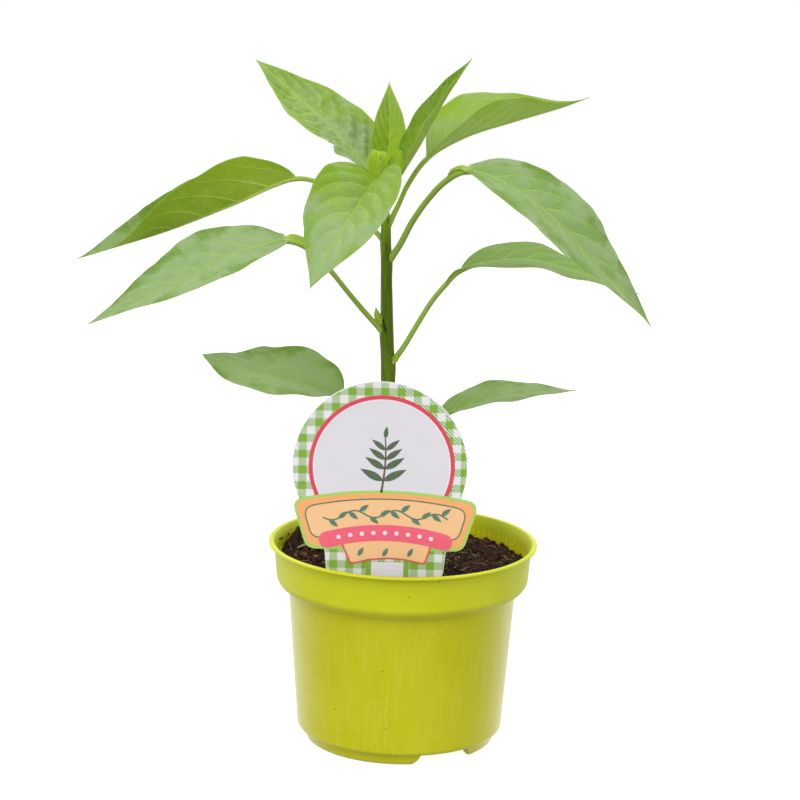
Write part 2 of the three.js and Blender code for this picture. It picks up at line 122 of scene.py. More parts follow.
def make_world():
    """A white studio: even soft light, and for glossy surfaces a bright back and ceiling and a dark front."""
    world = bpy.data.worlds.new("studio")
    world.use_nodes = True
    world.cycles.sampling_method = "NONE"
    bpy.context.scene.world = world
    nodes, links = world.node_tree.nodes, world.node_tree.links

    def ramp(value, low, high, to_low, to_high):
        made = nodes.new("ShaderNodeMapRange")
        made.interpolation_type = "SMOOTHSTEP"
        links.new(value, made.inputs["Value"])
        for key, number in zip(("From Min", "From Max", "To Min", "To Max"), (low, high, to_low, to_high)):
            if isinstance(number, bpy.types.NodeSocket):
                links.new(number, made.inputs[key])
            else:
                made.inputs[key].default_value = number
        return made.outputs["Result"]

    background = nodes["Background"]
    background.inputs["Color"].default_value = (1, 1, 1, 1)
    path = nodes.new("ShaderNodeLightPath")
    direction = nodes.new("ShaderNodeSeparateXYZ")
    links.new(nodes.new("ShaderNodeTexCoord").outputs["Generated"], direction.inputs[0])
    back = ramp(direction.outputs["Y"], -0.3, 0.75, WORLD["mirrored_front"], WORLD["mirrored_back"])
    level = ramp(direction.outputs["Z"], -0.9, -0.5, WORLD["mirrored_below"], back)
    mirrored = ramp(direction.outputs["Z"], 0.72, 0.92, level, WORLD["mirrored_top"])
    light = ramp(path.outputs["Is Glossy Ray"], 0, 1, WORLD["light"], mirrored)
    seen = ramp(path.outputs["Is Camera Ray"], 0, 1, light, WORLD["seen"])
    links.new(seen, background.inputs["Strength"])
    bpy.context.scene.view_settings.view_transform = "Standard"


def make_floor():
    radius = FLOOR["radius"]
    points = [to_frame((radius * math.cos(a), radius * math.sin(a), 0)) for a in full_turn(FLOOR["segments"])]
    mesh = bpy.data.meshes.new("floor")
    mesh.from_pydata(points, [], [list(range(len(points)))])
    material = bpy.data.materials.new("floor_white")
    material.use_nodes = True
    surface = material.node_tree.nodes["Principled BSDF"]
    surface.inputs["Base Color"].default_value = (FLOOR["colour"],) * 3 + (1,)
    surface.inputs["Roughness"].default_value = FLOOR["roughness"]
    surface.inputs["Emission Color"].default_value = (1, 1, 1, 1)
    surface.inputs["Emission Strength"].default_value = FLOOR["glow"]
    mesh.materials.append(material)
    floor = add_object("floor", mesh)
    floor.visible_diffuse = floor.visible_glossy = False


# ---------- meshes ----------
def smoothstep(value, low, high):
    share = np.clip((value - low) / (high - low), 0, 1)
    return share * share * (3 - 2 * share)


def mix(first, second, share):
    return first + (second - first) * share


def add_piece(name, points, faces, materials, slot, replaces=None, looks=None, attributes=None, crease=50):
    """Adds a closed mesh that rides on the root body. looks holds each face's material number, and attributes
    holds values for each point under a name. Edges sharper than crease stay sharp in its shading."""
    mesh = bpy.data.meshes.new(name)
    mesh.from_pydata((np.asarray(points, float) * MM + POT_AXIS).tolist(), [], faces)
    for material in materials:
        mesh.materials.append(material)
    if looks is not None:
        mesh.polygons.foreach_set("material_index", looks)
    for key, values in (attributes or {}).items():
        kind, field = ("FLOAT_VECTOR", "vector") if np.ndim(values) == 2 else ("FLOAT", "value")
        mesh.attributes.new(key, kind, "POINT").data.foreach_set(field, np.ravel(values).astype(np.float32))
    mesh.polygons.foreach_set("use_smooth", [True] * len(mesh.polygons))
    mesh.set_sharp_from_angle(angle=math.radians(crease))
    mesh.update()
    piece = add_object(name, mesh)
    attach(piece, "root")
    if replaces:
        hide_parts(replaces)
    return piece


def grid_quads(rows, columns, first=0, closed=False, flip=False):
    """Quads between neighbouring points of a grid that is stored row by row."""
    spans = columns if closed else columns - 1
    row, column = np.meshgrid(np.arange(rows - 1), np.arange(spans), indexing="ij")
    here, below, after = row * columns, (row + 1) * columns, (column + 1) % columns
    quads = np.stack([here + column, here + after, below + after, below + column], -1).reshape(-1, 4) + first
    return (quads[:, ::-1] if flip else quads).tolist()


def capped_tube(rings, sides, flip=False):
    """Quads between rings of points that follow one another, and a face over each end."""
    last = (rings - 1) * sides
    ends = [list(range(sides - 1, -1, -1)), list(range(last, last + sides))]
    return grid_quads(rings, sides, closed=True, flip=flip) + [end[::-1] if flip else end for end in ends]


def joined(shapes):
    """The points and faces of several shapes as those of one."""
    points, faces = [], []
    for new_points, new_faces in shapes:
        faces += [[corner + len(points) for corner in face] for face in new_faces]
        points += list(new_points)
    return points, faces


def random_numbers(seed):
    """Repeatable numbers from 0 to 1, the same as the part's source draws."""
    factor, modulus = 16807, 2**31 - 1
    state = seed
    while True:
        state = state * factor % modulus
        yield state / modulus


# ---------- materials ----------
def srgb(red, green, blue):
    """A colour given as a screen shows it, from 0 to 255, as the light it stands for."""
    shown = [c / 255 for c in (red, green, blue)]
    return (*(c / 12.92 if c <= 0.04045 else ((c + 0.055) / 1.055) ** 2.4 for c in shown), 1)


class Shader:
    """A material whose nodes are made by short calls, each giving back an output socket."""

    def __init__(self, name, **settings):
        self.material = bpy.data.materials.new(name)
        self.material.use_nodes = True
        self.tree = self.material.node_tree
        self.surface = self.tree.nodes["Principled BSDF"]
        for key, value in settings.items():
            self.surface.inputs[key.replace("_", " ")].default_value = value

    def feed(self, socket, value):
        if isinstance(value, bpy.types.NodeSocket):
            self.tree.links.new(value, socket)
        else:
            socket.default_value = value

    def node(self, kind, inputs, output=0, **settings):
        made = self.tree.nodes.new("ShaderNode" + kind)
        for key, value in settings.items():
            setattr(made, key, value)
        for key, value in inputs.items():
            self.feed(made.inputs[key], value)
        return made.outputs[output]

    def set(self, name, value):
        self.feed(self.surface.inputs[name], value)

    def math(self, operation, *values):
        return self.node("Math", dict(enumerate(values)), operation=operation)

    def times(self, first, second):
        return self.math("MULTIPLY", first, second)

    def plus_times(self, first, second, third):
        """The first value times the second, plus the third."""
        return self.math("MULTIPLY_ADD", first, second, third)

    def step(self, value, low, high, to_low=0.0, to_high=1.0):
        inputs = {"Value": value, "From Min": low, "From Max": high, "To Min": to_low, "To Max": to_high}
        return self.node("MapRange", inputs, interpolation_type="SMOOTHSTEP")

    def blend(self, share, first, second):
        return self.node("Mix", {0: share, 6: first, 7: second}, output=2, data_type="RGBA")

    def parts(self, vector):
        made = self.tree.nodes.new("ShaderNodeSeparateXYZ")
        self.feed(made.inputs[0], vector)
        return made.outputs

    def together(self, x=0.0, y=0.0, z=0.0):
        return self.node("CombineXYZ", {0: x, 1: y, 2: z})

    def place(self):
        """The point in mm in the frame."""
        where = self.node("TexCoord", {}, output="Object")
        return self.node("VectorMath", {0: where, "Scale": 1 / MM}, operation="SCALE")

    def from_axis(self):
        """The point in mm from the pot's axis."""
        shift = tuple(-POT_AXIS / MM)
        return self.node("VectorMath", {0: self.place(), 1: shift}, operation="ADD")

    def stored(self, name, output="Vector"):
        return self.node("Attribute", {}, output=output, attribute_name=name)

    def noise(self, vector, scale, detail=2.0, roughness=0.5):
        inputs = {"Vector": vector, "Scale": scale, "Detail": detail, "Roughness": roughness}
        return self.node("TexNoise", inputs)

    def cells(self, vector, scale, feature="DISTANCE_TO_EDGE"):
        """How far the point is from the nearest edge between cells, or with F1 from the nearest centre."""
        return self.node("TexVoronoi", {"Vector": vector, "Scale": scale}, output="Distance", feature=feature)

    def bump(self, height, strength=1.0):
        """Relief from a height in mm."""
        self.set("Normal", self.node("Bump", {"Height": height, "Distance": MM, "Strength": strength}))

    def let_through(self, share, colour):
        """Lets a share of the light pass through the surface, tinted."""
        normal = self.surface.inputs["Normal"].links
        through = self.tree.nodes.new("ShaderNodeBsdfTranslucent")
        self.feed(through.inputs["Color"], colour)
        if normal:
            self.tree.links.new(normal[0].from_socket, through.inputs["Normal"])
        both = self.tree.nodes.new("ShaderNodeMixShader")
        self.feed(both.inputs[0], share)
        self.tree.links.new(self.surface.outputs[0], both.inputs[1])
        self.tree.links.new(through.outputs[0], both.inputs[2])
        self.tree.links.new(both.outputs[0], self.tree.nodes["Material Output"].inputs["Surface"])


# ---------- pot ----------
POT = {
    "height": 91, "rim_radius": 60, "lip_width": 2.3, "lip_thickness": 1.3, "lip_round": 0.55,
    "lip_slope": 2.2, "lip_inner_round": 0.5, "wall": 1.2, "collar_top": 57.6, "collar_foot": 56.5,
    "collar_bottom": 70.3, "collar_round": 5.6, "step_round": 0.35, "corner_round": 0.3,
    "body_top": 50.9, "body_foot": 46, "floor": 5, "floor_thickness": 1.4, "edge_round": 2.4,
    "foot_radius": 44.1, "foot_width": 4.5, "foot_taper": 1.3, "foot_round": 2.2,
    "middle": 0.01, "segments": 672,
}
FOOT_GAPS = {"centres": (-61, 58, 178), "width": 32, "corner": 4.6}
DRAIN = {"count": 8, "radius": 4, "ring": 30, "sides": 48, "past": 3}
RIBS = {"count": 112, "height": 0.6, "top": 84.8, "fade": 0.3, "flanks": (-0.2, 0.6)}
PLASTIC = {
    "clouds": ((194, 200, 8), (203, 207, 30)), "pale_streak": (214, 210, 66), "dull_streak": (180, 186, 20),
    # Painted light: the step colour is a painted highlight under the collar, the warm colour a painted shade
    # inside the pot, and the inner wall colour painted light over the soil.
    "painted_step_highlight": (232, 236, 96), "painted_inside_shade": (190, 175, 0), "painted_inner_light": (230, 212, 0), "speck": (104, 104, 16),
    "roughness": (0.3, 0.5),  # of the body and of the collar
    "drawn_out": 0.035,  # how much slower the streaks change up the pot than round it
}


def arc(centre, radius, start, end, steps):
    """Points round a centre between two angles in degrees."""
    angles = np.radians(np.linspace(start, end, steps + 1))
    return [(centre[0] + radius * math.cos(a), centre[1] + radius * math.sin(a)) for a in angles]


def body_radius(height):
    share = (height - POT["floor"]) / (POT["collar_bottom"] - POT["floor"])
    return mix(POT["body_foot"], POT["body_top"], share)


def pot_profile():
    """The shell's section as radius and height, from the middle of its underside to that of its floor."""
    height, wall, small = POT["height"], POT["wall"], POT["lip_round"]
    centre = (POT["body_top"], POT["collar_bottom"] + POT["collar_round"])
    under = height - POT["lip_thickness"]
    lip_inner = POT["rim_radius"] - POT["lip_width"]
    floor_top = POT["floor"] + POT["floor_thickness"]
    edge_height = POT["floor"] + POT["edge_round"]
    edge = (body_radius(edge_height) - POT["edge_round"], edge_height)
    collar_inner = POT["collar_top"] - wall
    inner_round = POT["collar_round"] - wall
    step, corner, lip = POT["step_round"], POT["corner_round"], POT["lip_inner_round"]
    ribs_top = RIBS["top"] + RIBS["fade"]
    ribbed = [(mix(collar_inner, centre[0] + inner_round, share), mix(ribs_top, centre[1], share))
              for share in np.linspace(0, 1, 8)]
    return [
        (POT["middle"], POT["floor"]), *arc(edge, POT["edge_round"], -90, 0, 8),
        *arc((POT["body_top"] + step, POT["collar_bottom"] - step), step, 180, 90, 3),
        *arc(centre, POT["collar_round"], -82, 0, 12),
        *arc((POT["collar_top"] + corner, under - corner), corner, 180, 90, 3),
        *arc((POT["rim_radius"] - small, under + small), small, -90, 0, 4),
        *arc((POT["rim_radius"] - small, height - small), small, 0, 90, 5),
        *arc((lip_inner + lip, height - lip), lip, 90, 160, 4),
        (collar_inner, height - POT["lip_slope"]), *ribbed,
        *arc(centre, inner_round, -10, -90, 6), (POT["body_top"] - wall, POT["collar_bottom"] + wall),
        (body_radius(floor_top) - wall, floor_top), (POT["middle"], floor_top),
    ]


def foot_profile(ground):
    """The foot ring's section, closed, standing at a height over the ground. Its outer wall slants in."""
    inner, outer = POT["foot_radius"] - POT["foot_width"], POT["foot_radius"]
    top = POT["floor"] + POT["floor_thickness"] / 2
    low = outer - POT["foot_taper"] * (top - ground) / top
    small = min(POT["foot_round"], (top - ground) / 2)
    return [
        (inner, top), *arc((inner + small / 2, ground + small / 2), small / 2, 180, 270, 3),
        *arc((low - small, ground + small), small, -90, 0, 7), (outer, top),
    ]


def foot_ground(angle):
    """How high the foot ring's underside is at an angle in radians: on the ground, or up in the floor."""
    away = min(abs((math.degrees(angle) - centre + 180) % 360 - 180) for centre in FOOT_GAPS["centres"])
    past = math.radians(away - FOOT_GAPS["width"] / 2) * POT["foot_radius"]
    corner = FOOT_GAPS["corner"]
    raised = POT["floor"] + POT["floor_thickness"] / 4
    if past <= 0:
        return raised
    if past >= corner:
        return 0.0
    return raised * (1 - math.sqrt(1 - (1 - past / corner) ** 2))


def plastic():
    """Satin yellow-green plastic with upright flow lines on the body, soft clouds and a few dark specks.
    Painted light: a highlight line under the collar, a warm shade inside the pot and brighter light on the
    inner wall over the soil.
    """
    shader = Shader("pot_plastic", IOR=1.45)
    where = shader.parts(shader.from_axis())
    height, step, rim_wall = where[2], POT["collar_bottom"], POT["collar_foot"]
    radius = shader.math("SQRT", shader.math("ADD", shader.times(where[0], where[0]),
                                             shader.times(where[1], where[1])))
    upright = shader.together(where[0], where[1], shader.times(height, PLASTIC["drawn_out"]))
    streaks = shader.noise(upright, 0.5, detail=4, roughness=0.6)
    fine = shader.noise(upright, 1.6, detail=2)
    clouds = shader.noise(shader.from_axis(), 0.03, detail=3)
    on_body = shader.step(height, step + 0.5, step - 4, 0.12, 1)
    shader.set("Roughness", shader.step(height, step, step + 3, *PLASTIC["roughness"]))
    colour = shader.blend(shader.step(clouds, 0.35, 0.65), *(srgb(*c) for c in PLASTIC["clouds"]))
    pale = shader.times(shader.step(streaks, 0.48, 0.7, 0, 0.6), on_body)
    colour = shader.blend(pale, colour, srgb(*PLASTIC["pale_streak"]))
    dull = shader.times(shader.step(fine, 0.55, 0.75, 0, 0.4), on_body)
    colour = shader.blend(dull, colour, srgb(*PLASTIC["dull_streak"]))
    # Painted highlight: a thin pale line just over the step under the collar.
    off_step = shader.math("ABSOLUTE", shader.math("SUBTRACT", height, step + 0.6))
    colour = shader.blend(shader.step(off_step, 0.95, 0.65, 0, 0.75), colour, srgb(*PLASTIC["painted_step_highlight"]))
    # Painted shade: a warmer, darker tint inside the pot below the top of the ribs.
    below_ribs = shader.step(height, RIBS["top"] + 1, RIBS["top"] - 1)
    within = shader.step(radius, rim_wall - 0.2, rim_wall - 0.6)
    painted_inside_shade = shader.times(shader.times(below_ribs, within), 0.35)
    colour = shader.blend(painted_inside_shade, colour, srgb(*PLASTIC["painted_inside_shade"]))
    # Painted light: the inner wall over the soil is made brighter, standing in for light let through the
    # plastic.
    painted_inner_light = shader.times(within, shader.step(height, SOIL["surface"] - 6, SOIL["surface"] - 4))
    colour = shader.blend(shader.times(painted_inner_light, 0.6), colour, srgb(*PLASTIC["painted_inner_light"]))
    spots = shader.cells(shader.from_axis(), 0.1, feature="F1")
    grain = shader.noise(shader.from_axis(), 1.9, detail=1)
    speckled = shader.step(shader.plus_times(grain, 0.04, spots), 0.066, 0.05, 0, 0.8)
    shader.set("Base Color", shader.blend(speckled, colour, srgb(*PLASTIC["speck"])))
    relief = shader.times(shader.plus_times(streaks, 0.3, shader.times(fine, 0.04)), on_body)
    shader.bump(shader.plus_times(clouds, 0.5, relief), 0.5)
    return shader.material


def cut_drain_holes(pot):
    """Cuts the round holes through the pot's floor."""
    turn = full_turn(DRAIN["sides"])
    low, high = POT["floor"] - DRAIN["past"], POT["floor"] + POT["floor_thickness"] + DRAIN["past"]
    holes = []
    for angle in full_turn(DRAIN["count"]):
        x = DRAIN["ring"] * math.cos(angle) + DRAIN["radius"] * np.cos(turn)
        y = DRAIN["ring"] * math.sin(angle) + DRAIN["radius"] * np.sin(turn)
        points = [(*p, z) for z in (low, high) for p in zip(x, y)]
        holes.append((points, capped_tube(2, DRAIN["sides"])))
    points, faces = joined(holes)
    mesh = bpy.data.meshes.new("drain_cutter")
    mesh.from_pydata((np.array(points) * MM + POT_AXIS).tolist(), [], faces)
    cutter = add_object("drain_cutter", mesh)
    cut = pot.modifiers.new("drain_holes", "BOOLEAN")
    cut.operation, cut.solver, cut.object = "DIFFERENCE", "EXACT", cutter
    bpy.context.view_layer.objects.active = pot
    bpy.ops.object.modifier_apply(modifier=cut.name)
    bpy.data.objects.remove(cutter)


def make_pot():
    segments = POT["segments"]
    turn = full_turn(segments)
    profile = pot_profile()
    points = []
    ribs = RIBS["height"] * smoothstep(np.cos(RIBS["count"] * turn), *RIBS["flanks"])
    for number, (radius, height) in enumerate(profile):
        inside = number > len(profile) / 2 and POT["collar_bottom"] + 2 < height < RIBS["top"]
        radii = radius - ribs * inside
        points += zip(radii * np.cos(turn), radii * np.sin(turn), np.full(segments, height))
    material = plastic()
    pot = add_piece("pot_shell", points, capped_tube(len(profile), segments), [material], "pot_plastic",
                    replaces="pot")
    cut_drain_holes(pot)
    make_feet(turn, material)


def make_feet(turn, material):
    """The ring under the pot's floor, open at three gaps, which leaves three feet."""
    feet = [foot_profile(foot_ground(angle)) for angle in turn]
    count = len(feet[0])
    points = [(r * math.cos(a), r * math.sin(a), z) for a, section in zip(turn, feet) for r, z in section]
    row, column = np.meshgrid(np.arange(len(turn)), np.arange(count), indexing="ij")
    here, after, beside = row * count, (row + 1) % len(turn) * count, (column + 1) % count
    quads = np.stack([here + column, after + column, after + beside, here + beside], -1)
    add_piece("pot_feet", points, quads.reshape(-1, 4).tolist(), [material], "pot_plastic")


# ---------- soil ----------
SOIL = {
    "surface": 82, "clearance": 0.4, "clumps": 46, "clump_height": 3, "clump_radius": 8, "seed": 7,
    "rings": 150, "spokes": 420, "edge_radius": 55.4, "middle": 0.004, "over_ledge": 0.3,
}
PEAT = {
    # a dark, a middle and a light colour for each piece
    "bed": [(30, 19, 16), (62, 42, 34), (120, 92, 72)],
    "crumbs": [(36, 23, 19), (76, 53, 42), (158, 116, 66)],
    "fibres": [(62, 42, 33), (114, 84, 66), (184, 152, 118)],
    "straw": [(128, 122, 84), (176, 170, 122), (200, 196, 150)],
}
LUMPS = {"fineness": 0.16, "height": 0.9}
GRAINS = {"fineness": 0.38, "height": 1.6, "level": 0.55, "octaves": 4}
HEAP = (-45, 19, 10.5, 9.5)  # x, y, height and radius of a taller clump at the back left
CRUMBS = {
    "count": 1700, "seed": 11, "smallest": 0.3, "largest": 1.25,
    "stretch": ((0.8, 1.3), (0.55, 0.4), (0.35, 0.4)),  # the least, and how much more at most, each way
}
FIBRES = {"count": 2300, "seed": 23, "points": 7, "sides": 4, "least": 1.8, "more": 6.5, "margin": 0.6}
SPIKES = {"count": 34, "seed": 31, "angle": 157, "spread": 9, "radius": 49.5, "height": 6}
WALL_CRUMBS = {"count": 34, "angles": (158, 205), "heights": (82.5, 88.3), "foot": 76, "rise": 14}
STRAW = [(-47.5, 7, 84.6), (-44, 8.5, 85.8), (-40, 10.5, 86.8), (-36.5, 12, 88)]
CHIPS = [(-38.5, -26.5), (-36, -28), (-33.5, -29.4), (-31, -30.6), (-44, 4.5), (-39, 3.5)]  # pale bark


def soil_clumps():
    random = random_numbers(SOIL["seed"])
    reach = POT["collar_foot"] - POT["wall"] - SOIL["clearance"]
    clumps = []
    for _ in range(SOIL["clumps"]):
        distance = reach * math.sqrt(next(random))
        angle = 2 * math.pi * next(random)
        height = SOIL["clump_height"] * (2 * next(random) - 1)
        radius = SOIL["clump_radius"] * (0.6 + next(random))
        clumps.append((distance * math.cos(angle), distance * math.sin(angle), height, radius))
    return [*clumps, HEAP]


CLUMPS = soil_clumps()


def soil_height(x, y):
    """The soil's height: broad clumps, lumps of a few mm and grains."""
    height = SOIL["surface"]
    for cx, cy, rise, radius in CLUMPS:
        height += rise * math.exp(-2 * ((x - cx) ** 2 + (y - cy) ** 2) / radius**2)
    lumps = noise.noise(Vector((x * LUMPS["fineness"], y * LUMPS["fineness"], 3)))
    grain_place = Vector((x * GRAINS["fineness"], y * GRAINS["fineness"], 7))
    grains = noise.turbulence(grain_place, GRAINS["octaves"], False)
    return height + LUMPS["height"] * lumps + GRAINS["height"] * (grains - GRAINS["level"])


def peat(name, colours, tint=None):
    """Dull, rough peat. With the name of a stored value, that gives each bit its own tint."""
    shader = Shader(name, Roughness=0.92, Specular_IOR_Level=0.35)
    where = shader.place()
    mottle = shader.noise(where, 0.6, detail=5, roughness=0.7)
    grains = shader.noise(where, 3.2, detail=3, roughness=0.7)
    dark, middle, light = (srgb(*c) for c in colours)
    share = shader.stored(tint, "Fac") if tint else mottle
    colour = shader.blend(shader.step(share, 0.3, 0.65), dark, middle)
    if tint:
        colour = shader.blend(shader.step(share, 0.7, 1.0), colour, light)
        colour = shader.blend(shader.step(mottle, 0.35, 0.75, 0, 0.4), colour, dark)
    else:
        colour = shader.blend(shader.step(grains, 0.58, 0.8, 0, 0.7), colour, light)
    shader.set("Base Color", colour)
    shader.bump(shader.plus_times(grains, 0.35, shader.times(mottle, 0.6)))
    return shader.material


def make_soil():
    spokes = SOIL["spokes"]
    turn = full_turn(spokes)
    inset = POT["wall"] + SOIL["clearance"]
    shelf = POT["collar_bottom"] + POT["wall"] + SOIL["over_ledge"]
    floor_top = POT["floor"] + POT["floor_thickness"] + SOIL["over_ledge"]
    sides = [(body_radius(floor_top) - inset, floor_top), (POT["body_top"] - inset, shelf),
             (POT["collar_foot"] - inset - 1.5, shelf + 3.5)]
    points = [(r * math.cos(a), r * math.sin(a), z) for r, z in sides for a in turn]
    for share in np.linspace(1, SOIL["middle"], SOIL["rings"]):
        radius = SOIL["edge_radius"] * share
        for a in turn:
            x, y = radius * math.cos(a), radius * math.sin(a)
            points.append((x, y, soil_height(x, y)))
    faces = capped_tube(len(sides) + SOIL["rings"], spokes)
    material = peat("peat_soil", PEAT["bed"])
    add_piece("soil_bed", points, faces, [material], "peat_soil", replaces="soil", crease=180)


def place_on_soil(random, margin):
    """A random place on the soil, clear of the wall by a margin."""
    distance = (SOIL["edge_radius"] - margin) * math.sqrt(next(random))
    angle = 2 * math.pi * next(random)
    return distance * math.cos(angle), distance * math.sin(angle)


def crumb_places(random):
    """The place, size and tint of each crumb on the soil or stuck to the wall, and of each pale chip."""
    places = []
    for _ in range(CRUMBS["count"]):
        size = mix(CRUMBS["smallest"], CRUMBS["largest"], next(random) ** 2.5)
        x, y = place_on_soil(random, size * 1.4)
        places.append((x, y, soil_height(x, y) + 0.25 * size, size, next(random) * 0.9))
    for _ in range(WALL_CRUMBS["count"]):
        angle = math.radians(mix(*WALL_CRUMBS["angles"], next(random)))
        height = mix(*WALL_CRUMBS["heights"], next(random) ** 2)
        share = (height - WALL_CRUMBS["foot"]) / WALL_CRUMBS["rise"]
        wall = mix(POT["collar_foot"], POT["collar_top"], share)
        radius = wall - POT["wall"] - SOIL["clearance"]
        size = 0.25 + 0.5 * next(random)
        places.append((radius * math.cos(angle), radius * math.sin(angle), height, size, 0.2))
    return places + [(x, y, soil_height(x, y) + 0.5, 1.0, 1.0) for x, y in CHIPS]


def make_crumbs():
    """Loose shreds of peat, half sunk or stuck to the wall, as rough little lumps drawn out one way."""
    random = random_numbers(CRUMBS["seed"])
    shape = bmesh.new()
    bmesh.ops.create_icosphere(shape, subdivisions=2, radius=1)
    ball_points = np.array([v.co for v in shape.verts])
    ball_faces = [[v.index for v in f.verts] for f in shape.faces]
    shape.free()
    lumps, tints = [], []
    for number, (x, y, z, size, tint) in enumerate(crumb_places(random)):
        stretch = np.array([least + more * next(random) for least, more in CRUMBS["stretch"]])
        turned = Matrix.Rotation(2 * math.pi * next(random), 3, "Z")
        turned = turned @ Matrix.Rotation(next(random) - 0.5, 3, "Y")
        shift = Vector((number, 0, 0))
        rough = np.array([1 + 0.5 * noise.noise(Vector(p) * 1.4 + shift) for p in ball_points])
        lump = (ball_points * rough[:, None] * stretch * size) @ np.array(turned).T
        lumps.append((lump + [x, y, z], ball_faces))
        tints += [tint] * len(ball_points)
    points, faces = joined(lumps)
    material = peat("peat_crumbs", PEAT["crumbs"], tint="tint")
    add_piece("soil_crumbs", points, faces, [material], "peat_soil", attributes={"tint": tints}, crease=60)


def tube(path, radii, sides):
    """Points and faces of a closed tube along a path, with its own radius at each point."""
    path = np.asarray(path, float)
    along = np.gradient(path, axis=0)
    along /= np.linalg.norm(along, axis=1, keepdims=True)
    up = np.array([0, 0, 1.0]) if abs(along[:, 2]).mean() < 0.8 else np.array([0, 1.0, 0])
    side = np.cross(along, up)
    side /= np.linalg.norm(side, axis=1, keepdims=True)
    other = np.cross(side, along)
    turn = full_turn(sides)
    ring = np.cos(turn)[None, :, None] * side[:, None] + np.sin(turn)[None, :, None] * other[:, None]
    points = (path[:, None] + ring * np.asarray(radii)[:, None, None]).reshape(-1, 3)
    return points, capped_tube(len(path), sides, flip=True)


def fibre_path(random, x, y):
    """A short fibre that curls over the soil from a place."""
    count = FIBRES["points"]
    length = FIBRES["least"] + FIBRES["more"] * next(random) ** 2
    edge = SOIL["edge_radius"] - FIBRES["margin"]
    heading, bend = 2 * math.pi * next(random), 2.6 * (next(random) - 0.5)
    arch, lift = 0.7 * next(random) ** 2, 0.1 + 0.35 * next(random)
    path = []
    for step in range(count):
        away = math.hypot(x, y)
        if away > edge:
            x, y = (c * edge / away for c in (x, y))
        path.append((x, y, soil_height(x, y) + lift + arch * math.sin(math.pi * step / (count - 1))))
        x += length / count * math.cos(heading)
        y += length / count * math.sin(heading)
        heading += bend * (0.4 + next(random)) * 2 / count
    return path


def spike_path(random):
    """A stiff dark fibre that stands up from the taller clump."""
    angle = math.radians(SPIKES["angle"] + SPIKES["spread"] * 2 * (next(random) - 0.5))
    radius = SPIKES["radius"] - 6 * next(random) ** 2
    x, y = radius * math.cos(angle), radius * math.sin(angle)
    lean_x, lean_y = 2.5 * (next(random) - 0.5), 2.5 * (next(random) - 0.5)
    rise = SPIKES["height"] * (0.35 + 0.65 * next(random))
    shares = np.linspace(0, 1, FIBRES["points"])
    return [(x + lean_x * t * t, y + lean_y * t, soil_height(x, y) - 1 + rise * t) for t in shares]


def make_fibres():
    """Root and peat fibres on the soil, a tuft of stiff ones on the taller clump, and a bit of straw."""
    random = random_numbers(FIBRES["seed"])
    count = FIBRES["points"]
    strands = []
    for _ in range(FIBRES["count"]):
        path = fibre_path(random, *place_on_soil(random, 1))
        strands.append((path, 0.1 + 0.17 * next(random) ** 2, next(random)))
    spike_random = random_numbers(SPIKES["seed"])
    strands += [(spike_path(spike_random), 0.32, 0.1) for _ in range(SPIKES["count"])]
    tubes, tints = [], []
    swell = [0.3 + 0.7 * math.sin(math.pi * (0.12 + 0.8 * s / (count - 1))) for s in range(count)]
    for path, thick, tint in strands:
        tubes.append(tube(path, [thick * share for share in swell], FIBRES["sides"]))
        tints += [tint] * count * FIBRES["sides"]
    points, faces = joined(tubes)
    material = peat("peat_fibres", PEAT["fibres"], tint="tint")
    add_piece("soil_fibres", points, faces, [material], "peat_soil", attributes={"tint": tints}, crease=180)
    sides, flatness = 8, 0.35
    points, faces = tube(STRAW, [0.5, 1.0, 0.9, 0.35], sides)
    points[:, 2] = mix(np.repeat([p[2] for p in STRAW], sides), points[:, 2], flatness)
    add_piece("soil_straw", points, faces, [peat("straw", PEAT["straw"])], "peat_soil")


# ---------- leaves ----------
@dataclass
class Leaf:
    """A leaf's route runs from the stem's axis to its tip, and its blade starts at point blade_from of it.
    facing is where the upper face looks at the blade's base and tip. fold is how many degrees its left and
    right halves rise, at even steps from base to tip. full is how blunt its base is: the lower, the blunter.
    wings are how wide the blade's left and right edges run down the stalk. curl bends the margins and wave
    ripples them. blister is how far the blade swells between its side veins. fresh is how young it is, from
    0 to 1. bloom is how much sheen is painted on its upper side as a paler colour, at even steps from base
    to tip, and under how much on its lower side: 0 is none and 1 full, and more than 1 leaves fewer patches
    without it."""
    name: str
    width: float
    blade_from: int
    route: list
    facing: tuple
    fold: tuple
    stalk: float = 1.1
    widest: float = 0.35
    full: float = 0.66
    wings: tuple = (0.6, 0.6)
    curl: float = 0.0
    wave: float = 0.4
    waves: float = 3.0
    blister: float = 0.35
    side_veins: float = 7.5
    fresh: float = 0.0
    bloom: tuple = (0.2, 0.2)
    under: float = 0.0


